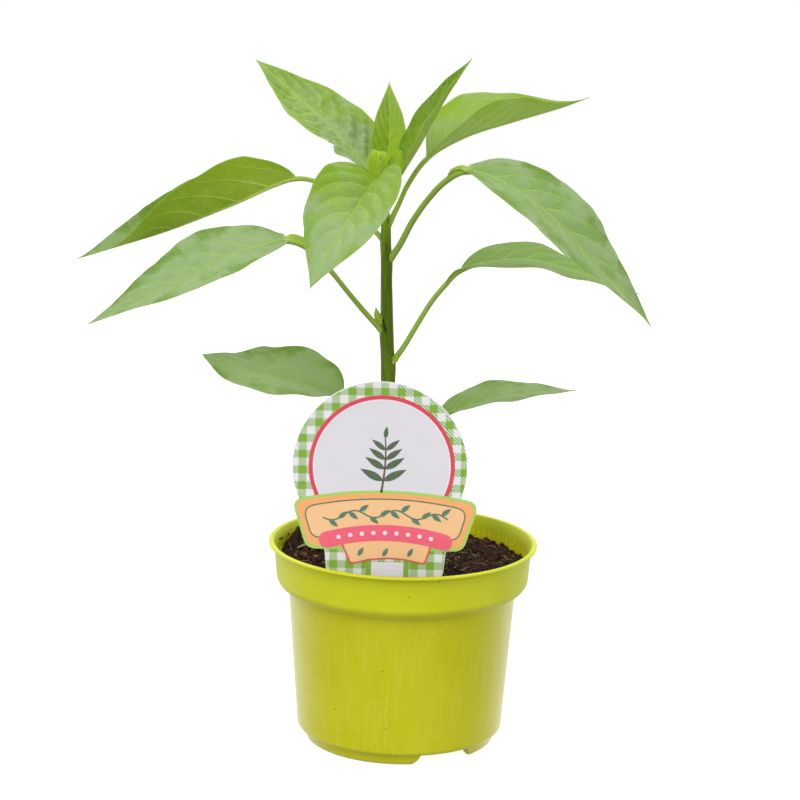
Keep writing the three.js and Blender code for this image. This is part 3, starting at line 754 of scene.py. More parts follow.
LEAVES = [
    Leaf("leaf_left_upper", 39.5, 4,
         [(-10.3, 0, 225.5), (-20, 5, 235), (-31, 9, 246), (-42, 13, 250.3), (-51, 15.2, 250.8),
          (-80, 20, 237.3), (-108, 22, 225.2), (-131, 21, 217.5), (-148, 19, 212.3)],
         ((0, 0.1, 1), (0, 0, 1)), ((74, 80, 63, 58, 43, 12, -6), (34, 36, 40, 60, 74, 64, 44)), widest=0.34,
         curl=0.05, waves=2.5, side_veins=6.5, bloom=(0, 0, 0, 1, 1.3)),
    Leaf("leaf_left_middle", 38, 5,
         [(-8.8, 0, 183.7), (-19.5, -4, 196), (-26.8, -8, 205.5), (-35.4, -13, 216.8), (-45, -18, 226.3),
          (-53, -21, 229.3), (-73, -28, 225.8), (-99, -36, 213.5), (-123, -39, 201.6), (-136.6, -40, 194.8)],
         ((0, -0.25, 1), (0, -0.25, 1)), ((9, 8, 10), (14, 27, 22)), stalk=1.25, wings=(0.2, 3.4), curl=-0.04,
         bloom=(1.15, 1.15)),
    Leaf("leaf_left_lower", 37, 2,
         [(-7.2, 0, 130), (-17, -6, 146), (-29, -10, 158), (-41, -13, 164), (-58, -17, 169),
          (-76, -20, 173.2), (-89, -22, 178.8)],
         ((0, -0.5, 1), (0, -0.5, 1)), ((38, 14.5, -4), (38, 12, -7)), widest=0.36, full=0.5, curl=-0.05,
         wave=0.7, waves=3.5, bloom=(1.2, 1.3)),
    Leaf("leaf_right_upper", 44.5, 3,
         [(-10.4, 0, 232), (-6, 3.5, 241), (-1.2, 8, 251.2), (6.6, 13, 261.4), (23.4, 24, 270),
          (45.5, 37, 275.7), (68, 46, 281.6), (79, 50, 285.5)],
         ((0, 0.3, 1), (0, 0.2, 1)), ((32, 43, 57, 74), (22, 27, 33, 36)), stalk=1.2, widest=0.36, full=1.15,
         curl=0.05, waves=3.5, fresh=0.55, bloom=(0.45, 0.4), under=0.55),
    Leaf("leaf_right_front", 44, 5,
         [(-9.8, 0, 217), (-4.7, -2.5, 225), (1.1, -5, 237), (7.6, -8, 247.2), (15, -12, 255.8),
          (23.5, -17, 260.6), (40, -25, 257), (61, -34, 243.6), (80, -41, 224.6), (97, -44, 207.4),
          (103, -45, 200.3)],
         ((0.1, -0.3, 1), (0.6, -0.4, 0.7)), ((21, 17, 16, 8), (21, 15, 14.5, 28)), stalk=1.45, widest=0.38,
         wings=(3, 2.4), curl=-0.08, bloom=(0.7, 0.85)),
    Leaf("leaf_right_middle", 37.5, 5,
         [(-8.3, 0, 170), (-1.8, 2, 179), (3.8, 5, 188.4), (9.8, 8, 198.1), (15.8, 11, 205.3),
          (23, 15, 211.6), (50, 24, 215.7), (76, 31, 209.2), (104, 36, 198.8)],
         ((0, 0, 1), (0, 0, 1)), ((18, 23, 20), (8, -1, -5)), stalk=1.25, widest=0.4, full=0.92,
         wings=(0.4, 2.2), curl=-0.08, wave=0.5, bloom=(0.3, 0.15)),
    Leaf("leaf_right_lower", 32.5, 3,
         [(-7.1, 0, 128), (0, 2.5, 135), (7, 5, 140.6), (14, 7, 145.5), (36, 12, 153.4), (57, 16, 156.6),
          (76, 20, 157.1)],
         ((0, 0, 1), (0, 0, 1)), ((18, 22, 18), (24, 11, 8)), widest=0.38, full=0.8, curl=-0.1,
         bloom=(0.3, 1.2)),
    Leaf("leaf_front", 45, 3,
         [(-11, 0, 238), (-12.3, -5, 247), (-13.4, -10, 253), (-15, -16, 255.3), (-19.6, -34, 252.3),
          (-28.6, -56, 240.5), (-37.3, -71, 226.5), (-41.2, -78, 219.3)],
         ((0, -0.2, 1), (-0.2, -0.7, 0.7)), ((60, 38, 24, 16, 14), (46, 46, 27, 5, 0)), full=0.7, curl=-0.1,
         wave=0.5, blister=0.9, fresh=0.45, bloom=(0, 0.35, 1.25, 1.4)),
    Leaf("leaf_back", 34, 2,
         [(-11.2, 0, 243), (-13, 6, 249), (-14.6, 14, 253), (-20.2, 44, 256.4), (-25.6, 68, 258.8),
          (-28.6, 82, 257.4)],
         ((0, -0.1, 1), (0, 0.1, 1)), ((25, 15), (25, 15)), stalk=1, curl=-0.05, wave=0.8, fresh=0.3,
         bloom=(1, 1)),
    Leaf("leaf_top_left", 37.5, 2,
         [(-11.4, 0, 246), (-15, 0, 252.5), (-18.5, 1.5, 256.5), (-31, 13, 269.4), (-48, 28, 282.6),
          (-70.5, 42, 300)],
         ((0.3, -0.7, 0.8), (0.3, -0.6, 0.8)), ((50, 24, 16, 20), (6, 8)), stalk=1, full=0.62, waves=3.5,
         blister=2.4, fresh=0.5, bloom=(0.95, 0.35)),
    Leaf("leaf_top_centre", 18.5, 1,
         [(-11.6, 0.4, 249.6), (-11.2, 5.2, 253.7), (-10.2, 9, 262.5), (-10.2, 13, 280.5),
          (-10.7, 17, 294.3)],
         ((0, -1, 0.4), (0, -1, 0.4)), ((40, 24), (40, 24)), stalk=0.8, blister=0.7, side_veins=6.5,
         fresh=0.85, bloom=(0, 0.3)),
    Leaf("leaf_top_right", 24.5, 2,
         [(-11.4, 0, 246.5), (-8, -2.4, 252), (-3.5, -4, 258.9), (3.4, -2, 269.9), (14.1, 2.6, 289.5),
          (25, 5, 306.8)],
         ((-0.8, -0.47, 0.35), (-0.8, -0.47, 0.35)), ((16, 12, 14), (50, 42, 40)), stalk=0.9, blister=0.8,
         side_veins=7, fresh=0.15, bloom=(0, 0), under=0.1),
    Leaf("seed_leaf", 7, 2,
         [(-6.3, 0, 108), (2, 2, 115), (9, 4, 119.5), (20, 6, 124.5), (29, 8, 128)],
         ((-0.3, 0, 1), (-0.3, 0, 1)), ((12, 8), (12, 8)), stalk=0.8, wings=(0, 0), wave=0, blister=0.1,
         side_veins=5, fresh=0.3),
]

CROWN_FACING = ((0, -1, 0.3), (0, -0.9, 0.6))
BUD_FACING = ((0, -1, 0.3), (0, -1, 0.3))
CUPPED = ((20, 10), (20, 10))


def sprout(name, width, route, facing, widest=0.35):
    """One of the tiny unopened leaves of the crown and of the leaf joints."""
    return Leaf(name, width, 1, route, facing, CUPPED, stalk=0.75, widest=widest, wings=(0, 0), wave=0,
                blister=0.25, side_veins=5, fresh=1.0)


SPROUTS = [
    sprout("crown_leaf_left", 8.6,
           [(-11.8, -0.5, 248.5), (-13, -3, 252.5), (-14.4, -6.2, 258.4), (-14.6, -8.2, 264),
            (-14.4, -7.6, 266.4), (-14.1, -5.5, 267)], CROWN_FACING, 0.62),
    sprout("crown_leaf_right", 7.4,
           [(-11.5, 0, 249), (-9.6, -3, 254), (-7.4, -5, 260), (-6, -6.2, 265), (-4.8, -6.4, 267.6)],
           CROWN_FACING, 0.5),
    sprout("crown_leaf_middle", 6, [(-11.5, 0, 249), (-11.8, -1, 254), (-12, -1.6, 259), (-12.4, -2, 264)],
           BUD_FACING),
    sprout("joint_bud_left", 3.4,
           [(-8.9, 0, 188), (-11.4, -1.6, 190.5), (-13.4, -2.6, 193.5), (-14.4, -3.2, 198)], BUD_FACING),
    sprout("joint_bud_right", 3, [(-8.3, 0, 170), (-6.2, -2, 173), (-5, -3, 175.5), (-4.5, -3.5, 178.5)],
           BUD_FACING),
]

BLADE = {
    "opening": 0.16,  # the share of the blade over which the round stalk turns into a flat blade
    "rib_at_tip": 0.12, "rib_above": 0.12, "wave_phase": 0.9, "half_thickness": 0.2, "edge_thickness": 0.08,
    "groove": 0.14, "vein_rise": 0.16, "wing_fold": 60, "ragged": 0.035,
}
VEIN_SWEEP = (0.13, 0.2)  # how far along the blade a side vein runs, with the way out and with its square
PER_SPAN = 40  # steps between two points of a route
SIZES = {  # rows of points along the blade and the stalk, and points across
    "large": (170, 40, 61), "small": (60, 30, 31), "sprout": (50, 10, 31),
}
SMALL_WIDTH = 10


def route_curve(route):
    """A smooth curve through a route, as points and the distance of each along it."""
    route = np.array(route, float)
    route = np.vstack([2 * route[0] - route[1], route, 2 * route[-1] - route[-2]])
    share = np.linspace(0, 1, PER_SPAN, endpoint=False)[:, None]
    spans = []
    for a, b, c, d in zip(route, route[1:], route[2:], route[3:]):
        before, here, after = (np.linalg.norm(v - u) ** 0.5 for u, v in ((a, b), (b, c), (c, d)))
        leave = ((b - a) / before - (c - a) / (before + here) + (c - b) / here) * here
        arrive = ((c - b) / here - (d - b) / (here + after) + (d - c) / after) * here
        spans.append(b + leave * share + (3 * (c - b) - 2 * leave - arrive) * share**2
                     + (2 * (b - c) + leave + arrive) * share**3)
    points = np.vstack([*spans, route[-2:-1]])
    steps = np.linalg.norm(np.diff(points, axis=0), axis=1)
    return points, np.concatenate([[0], np.cumsum(steps)])


def along_curve(points, distance, where):
    return np.stack([np.interp(where, distance, points[:, axis]) for axis in range(3)], -1)


def unit(vectors):
    return vectors / np.linalg.norm(vectors, axis=-1, keepdims=True)


def blade_width(share, leaf):
    """Half width along a blade, as a share of its greatest: a rounded base and a drawn-out tip."""
    tip_power = leaf.full * (1 - leaf.widest) / leaf.widest
    return (share / leaf.widest) ** leaf.full * ((1 - share) / (1 - leaf.widest)) ** tip_power


def uneven(first, second, scale, seed):
    """Smooth noise over a grid of two coordinates."""
    flat = [noise.noise(Vector((a * scale, b * scale, seed))) for a, b in zip(first.ravel(), second.ravel())]
    return np.array(flat).reshape(first.shape)


def leaf_spine(leaf, blade_rows, stalk_rows):
    """For each row of a leaf's points: its share of the blade, or below 0 of the stalk, its distance from
    the blade's base, its middle, and the ways sideways and up from there. Last is the stalk's length."""
    points, distance = route_curve(leaf.route)
    start, total = distance[leaf.blade_from * PER_SPAN], distance[-1]
    share = np.concatenate([np.linspace(-1, 0, stalk_rows, endpoint=False), np.linspace(0, 1, blade_rows)])
    where = np.where(share < 0, start * (1 + share), mix(start, total, share))
    centre = along_curve(points, distance, where)
    tangent = unit(along_curve(points, distance, where + 0.4) - along_curve(points, distance, where - 0.4))
    base, tip = (unit(np.array(f, float)) for f in leaf.facing)
    sideways = unit(np.cross(tangent, mix(base, tip, np.clip(share, 0, 1)[:, None])))
    along = np.where(share < 0, share * start, share * (total - start))
    return share[:, None], along[:, None], centre, sideways, np.cross(sideways, tangent), start


def vein_pattern(leaf, share, across, seed):
    """Where each point lies among the side veins, and how far off them, from 0 on a vein to 1 between two.
    Side veins leave the rib in turn, left and right, and sweep forward to the margin."""
    sweep = VEIN_SWEEP[0] * np.abs(across) + VEIN_SWEEP[1] * across**2
    stagger = 0.25 * np.clip(across / 0.06, -1, 1)
    jitter = 0.12 * uneven(share * 4 + 0 * across, np.sign(across) * 3 + 0 * share, 1.0, seed)
    vein_place = (share - sweep) * leaf.side_veins + stagger + jitter
    return vein_place, 2 * np.abs(vein_place % 1 - 0.5)


def leaf_grid(leaf, blade_rows, stalk_rows, columns):
    """A leaf's upper and lower points, row by row from the stem to the tip, and what its material reads."""
    share, along, centre, sideways, normal, stalk_length = leaf_spine(leaf, blade_rows, stalk_rows)
    in_blade = np.clip(share, 0, 1)
    place = np.linspace(-1, 1, columns)
    across = (np.sign(place) * np.abs(place) ** 1.35)[None, :]
    side = np.sign(across)
    stalk = leaf.stalk * mix(1, BLADE["rib_at_tip"], np.sqrt(in_blade))
    stalk = stalk * (1 + 0.35 * np.exp(-(((share + 1) * stalk_length / 5) ** 2)))
    breadth = blade_width(in_blade, leaf)
    wing_size = np.where(across < 0, *leaf.wings)
    wing = wing_size * smoothstep(along, -10, -7) * (1 - smoothstep(along, -2, 4))
    half = np.hypot(stalk, leaf.width / 2 * breadth + wing)
    opening = smoothstep(share, 0, BLADE["opening"])
    out = mix(np.sin(np.abs(across) * math.pi / 2), np.abs(across), opening)
    left, right = (np.interp(in_blade, np.linspace(0, 1, len(rise)), rise) for rise in leaf.fold)
    fold = np.where(side < 0, left, right)
    steep = np.where(wing_size > 1, BLADE["wing_fold"] * smoothstep(along, -13, -8),
                     fold * smoothstep(along, -8, 1))
    fold = np.radians(mix(steep, fold, smoothstep(along, -3, 2)))

    seed = sum(map(ord, leaf.name)) % 97
    vein_place, off_vein = vein_pattern(leaf, share, across, seed)
    calm = smoothstep(np.abs(across), 0.03, 0.2) * (1 - np.abs(across) ** 5)
    calm = calm * smoothstep(in_blade, 0.02, 0.14) * smoothstep(1 - in_blade, 0.02, 0.2) * np.sqrt(breadth)
    rough = uneven(along + 0 * across, 40 * side + 0 * share, 0.16, seed + 5)
    reach = half * out * (1 + BLADE["ragged"] * across**4 * rough)
    dimples = uneven(side * reach, along + 0 * reach, 0.28, seed + 9)
    swell = leaf.blister * calm * (off_vein**0.75 - 0.55 + 0.5 * dimples)

    ripple = leaf.wave * np.sin(2 * math.pi * leaf.waves * in_blade + side * BLADE["wave_phase"])
    lift = reach * np.sin(fold) + across**2 * opening * (half * leaf.curl + ripple * np.sqrt(breadth)) + swell
    middle = centre[:, None] + sideways[:, None] * (side * reach * np.cos(fold))[..., None]
    middle = middle + normal[:, None] * lift[..., None]

    skin = mix(BLADE["half_thickness"], BLADE["edge_thickness"], across**4)
    rounded = np.sqrt(np.maximum(0, stalk**2 - (half * out) ** 2))
    thickness = np.maximum(skin, rounded)
    above = mix(skin, thickness, mix(1, BLADE["rib_above"], opening))
    groove = BLADE["groove"] * stalk * np.exp(-((across / 0.4) ** 2)) * smoothstep(share, -0.8, -0.5)
    vein_rise = BLADE["vein_rise"] * np.clip(1 - off_vein * 9, 0, 1) * calm
    face = unit(np.cross(np.gradient(middle, axis=1), np.gradient(middle, axis=0)))
    upper = middle + face * (above - groove * (1 - 0.4 * in_blade))[..., None]
    lower = middle - face * (thickness + vein_rise)[..., None]

    shape = reach.shape
    flat, blade = (np.stack([np.broadcast_to(v, shape) for v in values], -1)
                   for values in ((side * reach, along, vein_place), (across, share, 0)))
    return upper, lower, flat, blade


def make_leaf(leaf, materials, slot, size, replaces=None):
    """A closed blade and stalk: the upper side has the first material and the rest the second."""
    blade_rows, stalk_rows, columns = SIZES[size]
    upper, lower, flat, blade = leaf_grid(leaf, blade_rows, stalk_rows, columns)
    rows = blade_rows + stalk_rows
    below = rows * columns
    top = grid_quads(rows, columns)
    faces = [*top, *grid_quads(rows, columns, first=below, flip=True)]
    starts = np.arange(rows - 1) * columns
    ends = starts + columns - 1
    cells = np.arange(columns - 1)
    last = (rows - 1) * columns + cells
    edges = ((starts, columns, False), (ends, columns, True), (cells, 1, True), (last, 1, False))
    for first, step, flipped in edges:
        edge = np.stack([first, first + step, below + first + step, below + first], -1)
        faces += (np.roll(edge[:, ::-1], 1, axis=1) if flipped else edge).tolist()
    points = np.vstack([upper.reshape(-1, 3), lower.reshape(-1, 3)])
    grids = {"flat": flat, "blade": blade}
    attributes = {key: np.tile(grid.reshape(-1, 3), (2, 1)) for key, grid in grids.items()}
    looks = [0] * len(top) + [1] * (len(faces) - len(top))
    add_piece(leaf.name if replaces is None else leaf.name + "_blade", points, faces, materials, slot,
              replaces=replaces, looks=looks, attributes=attributes, crease=60)


LEAF_COLOURS = {
    # for a full-grown leaf and for a new one: the blade's two greens, its veins, its stalk, light through it
    "upper": [((100, 134, 32), (80, 116, 4), (176, 204, 92), (146, 172, 62), (168, 206, 20)),
              ((168, 196, 54), (142, 174, 22), (204, 224, 96), (160, 188, 52), (208, 234, 20))],
    "lower": [((164, 188, 62), (140, 168, 20), (204, 220, 120), (146, 172, 62), (214, 232, 24)),
              ((168, 196, 66), (148, 184, 26), (204, 222, 108), (160, 188, 52), (208, 232, 20))],
}
PAINTED_SHEEN_COLOURS = {
    # the pale colours that a side fades to where sheen is painted on it: its two greens and its veins
    "upper": [(158, 175, 143), (144, 164, 122), (168, 198, 92)],
    "lower": [(190, 207, 146), (172, 192, 112), (214, 226, 168)],
}
DRAWN = {"rib": 0.92, "vein": 0.82, "net": 0.16, "edge": 0.3}  # how strongly each is drawn in the vein colour
NETS = ((0.4, 0.11), (1.1, 0.12))  # how fine, and how wide the lines, for the coarse and the fine net
PATCHES = (0.38, 0.62)  # the noise levels between which the light green turns to the dark, and patches of weak painted sheen to strong ones
RELIEF = {"vein": 0.11, "net": 0.035, "fine_net": 0.014, "mottle": 0.08}  # in mm
LEAF_SKIN = {
    # relief is -1 where veins are grooves and 1 where they stand out
    "upper": {"roughness": 0.42, "translucent": 0.4, "relief": -1.0},
    "lower": {"roughness": 0.5, "translucent": 0.48, "relief": 1.0},
}


def leaf_veins(shader, away, edge, share, vein_place):
    """How much the rib, the shade along its sides and the side veins show at a point."""
    rib_width = shader.plus_times(share, -0.55, 0.8)
    rib = shader.step(shader.math("DIVIDE", away, rib_width), 1.2, 0.6)
    off_rib = shader.math("ABSOLUTE", shader.math("SUBTRACT", away, rib_width))
    off_vein = shader.math("ABSOLUTE", shader.math("SUBTRACT", shader.math("FRACT", vein_place), 0.5))
    vein_width = shader.plus_times(edge, -0.026, 0.05)
    vein = shader.step(shader.math("DIVIDE", off_vein, vein_width), 1.2, 0.35)
    vein = shader.times(vein, shader.step(edge, 0.98, 0.75))
    return rib, shader.step(off_rib, 0.3, 0.05, 0, 0.1), shader.times(vein, shader.step(share, 0.01, 0.06))


def leaf_nets(shader, place, share):
    """How much the coarse and the fine net between the veins show at a point."""
    wander = shader.noise(place, 0.25, detail=2)
    bent = shader.node("VectorMath", {0: place, 1: wander}, operation="ADD")
    off_stalk = shader.times(shader.step(share, 0.0, 0.05), shader.step(share, 0.97, 0.8))
    return [shader.times(shader.step(shader.cells(bent, fineness), width, 0.0), off_stalk)
            for fineness, width in NETS]


def waxy(shader, share, bloom, patches):
    """How much painted sheen pales a point, patchily, from levels at even steps from base to tip."""
    pale = bloom[0]
    for number, level in enumerate(bloom[1:]):
        span = [(number + part) / (len(bloom) - 1) for part in (0, 1)]
        pale = shader.math("ADD", pale, shader.step(share, *span, 0, level - bloom[number]))
    return shader.times(pale, shader.step(patches, *PATCHES, 0.5, 1.4))


def leaf_material(side, fresh, bloom=(0.0, 0.0)):
    """The skin of a leaf's upper or lower side. fresh is how new it is and bloom how much sheen is painted on
    it as a paler colour, base to tip.
    """
    skin = LEAF_SKIN[side]
    name = f"leaf_{side}_{round(fresh * 100)}_" + "_".join(str(round(pale * 100)) for pale in bloom)
    shader = Shader(name, Roughness=skin["roughness"], IOR=1.55, Sheen_Weight=0.06, Sheen_Roughness=0.4,
                    Sheen_Tint=(0.9, 1, 0.86, 1))
    grown, new = LEAF_COLOURS[side]
    light, deep, vein_colour, stalk_colour, through = (
        tuple(mix(np.array(srgb(*a)), np.array(srgb(*b)), fresh)) for a, b in zip(grown, new))
    flat, blade = shader.stored("flat"), shader.stored("blade")
    flat_x, flat_y, vein_place = shader.parts(flat)
    across, share, _ = shader.parts(blade)
    away, edge = shader.math("ABSOLUTE", flat_x), shader.math("ABSOLUTE", across)

    rib, rib_side, vein = leaf_veins(shader, away, edge, share, vein_place)
    place = shader.together(flat_x, flat_y)
    net, fine_net = leaf_nets(shader, place, share)
    in_stalk = shader.step(share, 0.03, -0.01)

    patches = shader.noise(place, 0.055, detail=4, roughness=0.6)
    # Painted sheen: the greens and the veins fade, patchily, to pale colours that stand in for the bright
    # studio's reflection.
    pale = waxy(shader, share, bloom, patches)
    light, dark, vein_colour = (shader.blend(pale, colour, srgb(*faded))
                                for colour, faded in zip((light, deep, vein_colour), PAINTED_SHEEN_COLOURS[side]))
    mottle = shader.noise(place, 0.8, detail=3, roughness=0.6)
    colour = shader.blend(shader.step(patches, *PATCHES), light, dark)
    # In patches towards the margins the colour goes back to the deep green, without the painted sheen.
    rich = shader.times(shader.step(edge, 0.35, 0.95), shader.step(patches, 0.55, 0.42))
    colour = shader.blend(shader.times(rich, 0.85), colour, deep)
    colour = shader.blend(shader.step(mottle, 0.3, 0.8, 0, 0.3), colour, light)
    colour = shader.blend(rib_side, colour, tuple(c * 0.45 for c in deep[:3]) + (1,))
    drawn = shader.math("MAXIMUM", shader.times(rib, DRAWN["rib"]), shader.times(vein, DRAWN["vein"]))
    drawn = shader.math("MAXIMUM", drawn, shader.times(net, DRAWN["net"]))
    drawn = shader.math("MAXIMUM", drawn, shader.step(edge, 0.96, 1.0, 0, DRAWN["edge"]))
    colour = shader.blend(drawn, colour, vein_colour)
    colour = shader.blend(in_stalk, colour, stalk_colour)
    shader.set("Base Color", colour)

    relief = shader.times(net, RELIEF["net"] * skin["relief"])
    relief = shader.plus_times(vein, RELIEF["vein"] * skin["relief"], relief)
    relief = shader.plus_times(fine_net, RELIEF["fine_net"] * skin["relief"], relief)
    shader.bump(shader.plus_times(mottle, RELIEF["mottle"], relief))
    thick = shader.math("MAXIMUM", shader.times(rib, 0.7), shader.times(vein, 0.1))
    through = shader.blend(thick, through, stalk_colour)
    shader.let_through(shader.step(in_stalk, 0, 1, skin["translucent"], 0), through)
    return shader.material


def make_leaves():
    for leaf in LEAVES:
        materials = [leaf_material("upper", leaf.fresh, leaf.bloom),
                     leaf_material("lower", leaf.fresh, (leaf.under, leaf.under))]
        small = leaf.width < SMALL_WIDTH
        slot = "leaf_young" if leaf.name.startswith("leaf_top") or small else "leaf_green"
        make_leaf(leaf, materials, slot, "small" if small else "large", replaces=leaf.name)
    materials = [leaf_material("upper", 1.0), leaf_material("lower", 1.0)]
    for leaf in SPROUTS:
        make_leaf(leaf, materials, "leaf_young", "sprout")


# ---------- stem ----------
STEM = {
    "route": [(-5, 0, 54), (-5.6, 0, 79), (-7.4, 0, 132), (-8.3, 0, 164), (-9.5, 0, 196), (-10.5, 0, 226),
              (-11.6, 0, 250)],
    "radii": [2.1, 3.55, 3.45, 3.2, 2.8, 2.3, 1.5], "sides": 48, "young_from": (215, 250),
}
STEM_COLOURS = {
    "lines": ((76, 100, 0), (100, 124, 4)), "dark": (70, 92, 0), "young": (132, 170, 20),
    "stain": (40, 38, 30),
}
STAINS = [
    # height, angle round the stem (0 right, -90 front), half length, half width, lean, strength
    (189.5, -112, 4.5, 11, 2.2, 1.0), (174.5, -20, 4, 16, -1, 0.9), (224, -84, 3.5, 10, 0.6, 0.8),
    (220, -66, 3, 8, 0.3, 0.7), (229, -150, 2.5, 12, 0.5, 0.8), (190, 170, 3, 14, 0.5, 0.6),
    (236, -60, 2.5, 12, 0.3, 0.6), (132, 20, 3, 14, 0.4, 0.7), (133, -160, 3, 14, 0.4, 0.7),
]


def stem_skin():
    """Smooth green skin with fine lines up it, dark stains at the joints and a fresher green at the top."""
    shader = Shader("stem_skin", Roughness=0.45, IOR=1.4)
    where = shader.parts(shader.place())
    drawn_out = shader.together(where[0], where[1], shader.times(where[2], 0.08))
    lines = shader.noise(drawn_out, 1.1, detail=4, roughness=0.6)
    mottle = shader.noise(shader.place(), 0.5, detail=3)
    colour = shader.blend(shader.step(lines, 0.35, 0.7), *(srgb(*c) for c in STEM_COLOURS["lines"]))
    colour = shader.blend(shader.step(mottle, 0.45, 0.75, 0, 0.5), colour, srgb(*STEM_COLOURS["dark"]))
    young = shader.step(where[2], *STEM["young_from"])
    colour = shader.blend(young, colour, srgb(*STEM_COLOURS["young"]))
    stain = shader.stored("stain", "Fac")
    ragged = shader.step(shader.plus_times(lines, 0.6, stain), 0.55, 0.95)
    shader.set("Base Color", shader.blend(ragged, colour, srgb(*STEM_COLOURS["stain"])))
    shader.bump(shader.plus_times(lines, 0.16, shader.times(mottle, 0.06)))
    return shader.material


def make_stem():
    points, _ = route_curve(STEM["route"])
    params = np.arange(len(points)) / PER_SPAN
    radii = np.interp(params, np.arange(len(STEM["radii"])), STEM["radii"])
    turn = full_turn(STEM["sides"])[None, :]
    height = points[:, 2:3]
    radius = radii[:, None] * (1 + 0.025 * np.cos(5 * turn + height * 0.02) + 0.012 * np.cos(3 * turn + 1))
    buds = [leaf for leaf in SPROUTS if leaf.name.startswith("joint")]
    for leaf in [*LEAVES, *buds]:
        start, onward = np.array(leaf.route[0]), np.array(leaf.route[1])
        heading = math.atan2(onward[1] - start[1], onward[0] - start[0])
        toward = np.maximum(0, np.cos(turn - heading)) ** 2
        above = height - start[2] - 1
        radius = radius + 0.35 * leaf.stalk * toward * np.exp(-((above / np.where(above > 0, 3.5, 6)) ** 2))
    stain = np.zeros_like(radius)
    for level, angle, long, wide, lean, strength in STAINS:
        off = (np.degrees(turn) - angle - lean * (level - height) * 2 + 180) % 360 - 180
        stain = np.maximum(stain, strength * np.exp(-(((height - level) / long) ** 2) - (off / wide) ** 2))
    around = np.stack([radius * np.cos(turn), radius * np.sin(turn), 0 * radius], -1)
    rings = points[:, None] + around
    add_piece("stem_main", rings.reshape(-1, 3), capped_tube(*radius.shape), [stem_skin()], "stem_green",
              replaces="stem", attributes={"stain": stain.ravel()})


# ---------- label ----------
CARD = {"front": -41, "thickness": 0.8, "head": (-10.8, 135.0), "head_radius": 37.8, "stake_x": -7.8}
STAKE = [(26.3, 98), (25.3, 87), (13, 73), (1, 47)]  # half width and height down the stake
RING = {"centre": (-10, 135.3), "radius": 31.5, "width": 1.75, "white": 0.7, "steps": 160}
SPRIG = {
    "points": 24, "below_centre": 11.5, "height": 24, "widths": (1.0, 0.5), "pairs": (0.2, 0.42, 0.62, 0.8),
}
GINGHAM = {"pitch": 7.0, "column": -9.2, "row": 168.3, "hatch": 1.4}
BANNER = {
    # its middle, and for each field the top's height, its fall per mm squared, and the upper and lower
    # corners as distance from the middle, height and round
    "x": -8.05,
    "edge": (124.7, 0.00293, (40.6, 119.7, 5), (34, 98.1, 4.2)),
    "field": (123.3, 0.00293, (39.1, 118.5, 4.2), (32.9, 99.6, 3.4)),
    "panel": (120.9, 0.0034, (35.6, 116.6, 5), (31.6, 103.2, 3.6)),
}
TENDRIL = {"reach": 27, "arch": (114.3, 0.0028), "wave": 1.7, "wave_length": 18, "width": 0.7, "leaves": 12}
PLATE = {
    "edge": [(-26.6, 104, 0), (-27.2, 101, 1), (-22.9, 91.2, 1.8), (-15, 93.3, 0), (-7, 94.1, 0),
             (1, 93.6, 0), (9.7, 91.7, 1.8), (12.6, 101, 1), (12, 104, 0)],
    "field": [(-25.9, 104, 0), (-26.3, 101, 1), (-22.4, 92, 1.5), (-15, 94, 0), (-7, 94.8, 0),
              (1, 94.3, 0), (9.2, 92.5, 1.5), (11.7, 101, 1), (11.3, 104, 0)],
}
RIBBON = {"arch": (105.8, 0.0056), "ends": (-33, 17.6), "width": 7.2, "dots": (-28, 12)}
LAYER = 0.03  # the step between print levels
PRINT = {
    "white": (224, 223, 227), "ring": (216, 58, 80), "disc": (216, 213, 219), "border": (168, 204, 92),
    "orange": (243, 168, 102), "peach": (241, 192, 138), "teal": (84, 124, 98), "pink": (239, 92, 118),
    "red": (214, 84, 74), "green": (126, 172, 58), "leaf": (74, 104, 70), "bark": (104, 88, 74),
}


def ink(name, relief=0.05):
    """Printed card of one colour, with the faint unevenness of print."""
    shader = Shader("print_" + name, Roughness=0.38)
    colour = srgb(*PRINT[name])
    grain = shader.noise(shader.place(), 1.4, detail=3, roughness=0.7)
    pale = tuple(mix(c, 1, 0.12) for c in colour[:3]) + (1,)
    shader.set("Base Color", shader.blend(shader.step(grain, 0.3, 0.8, 0, 0.6), colour, pale))
    shader.bump(shader.noise(shader.place(), 0.5, detail=1), relief)
    return shader.material


def gingham_ink():
    """Squares where two green bands cross, hatched squares where one runs, and white between them."""
    shader = Shader("print_gingham", Roughness=0.38)
    where = shader.parts(shader.from_axis())
    pitch = GINGHAM["pitch"]
    bands = []
    for axis, start in ((where[0], GINGHAM["column"]), (where[2], GINGHAM["row"])):
        turns = shader.math("DIVIDE", shader.math("SUBTRACT", axis, start - pitch / 4), pitch)
        bands.append(shader.step(shader.math("PINGPONG", shader.math("ADD", turns, 0.25), 0.5), 0.245, 0.255))
    both = shader.times(*bands)
    one = shader.math("SUBTRACT", shader.math("MAXIMUM", *bands), both)
    slant = shader.math("DIVIDE", shader.math("ADD", where[0], where[2]), GINGHAM["hatch"])
    hatch = shader.step(shader.math("PINGPONG", slant, 0.5), 0.15, 0.25)
    amount = shader.plus_times(one, hatch, both)
    shader.set("Base Color", shader.blend(amount, srgb(*PRINT["white"]), srgb(*PRINT["green"])))
    return shader.material


def rounded(corners, steps=8):
    """A closed outline whose corners, given as x, height and round, are bent over that length each way."""
    points = []
    for before, (x, z, size), after in zip([corners[-1], *corners], corners, [*corners[1:], corners[0]]):
        if not size:
            points.append((x, z))
            continue
        here = np.array((x, z))
        start, end = (here + (other - here) * min(size / np.linalg.norm(other - here), 0.5 if bent else 1)
                      for other, bent in ((np.array(c[:2]), c[2]) for c in (before, after)))
        points += [tuple((1 - t) ** 2 * start + 2 * t * (1 - t) * here + t * t * end)
                   for t in np.linspace(0, 1, steps + 1)]
    return points


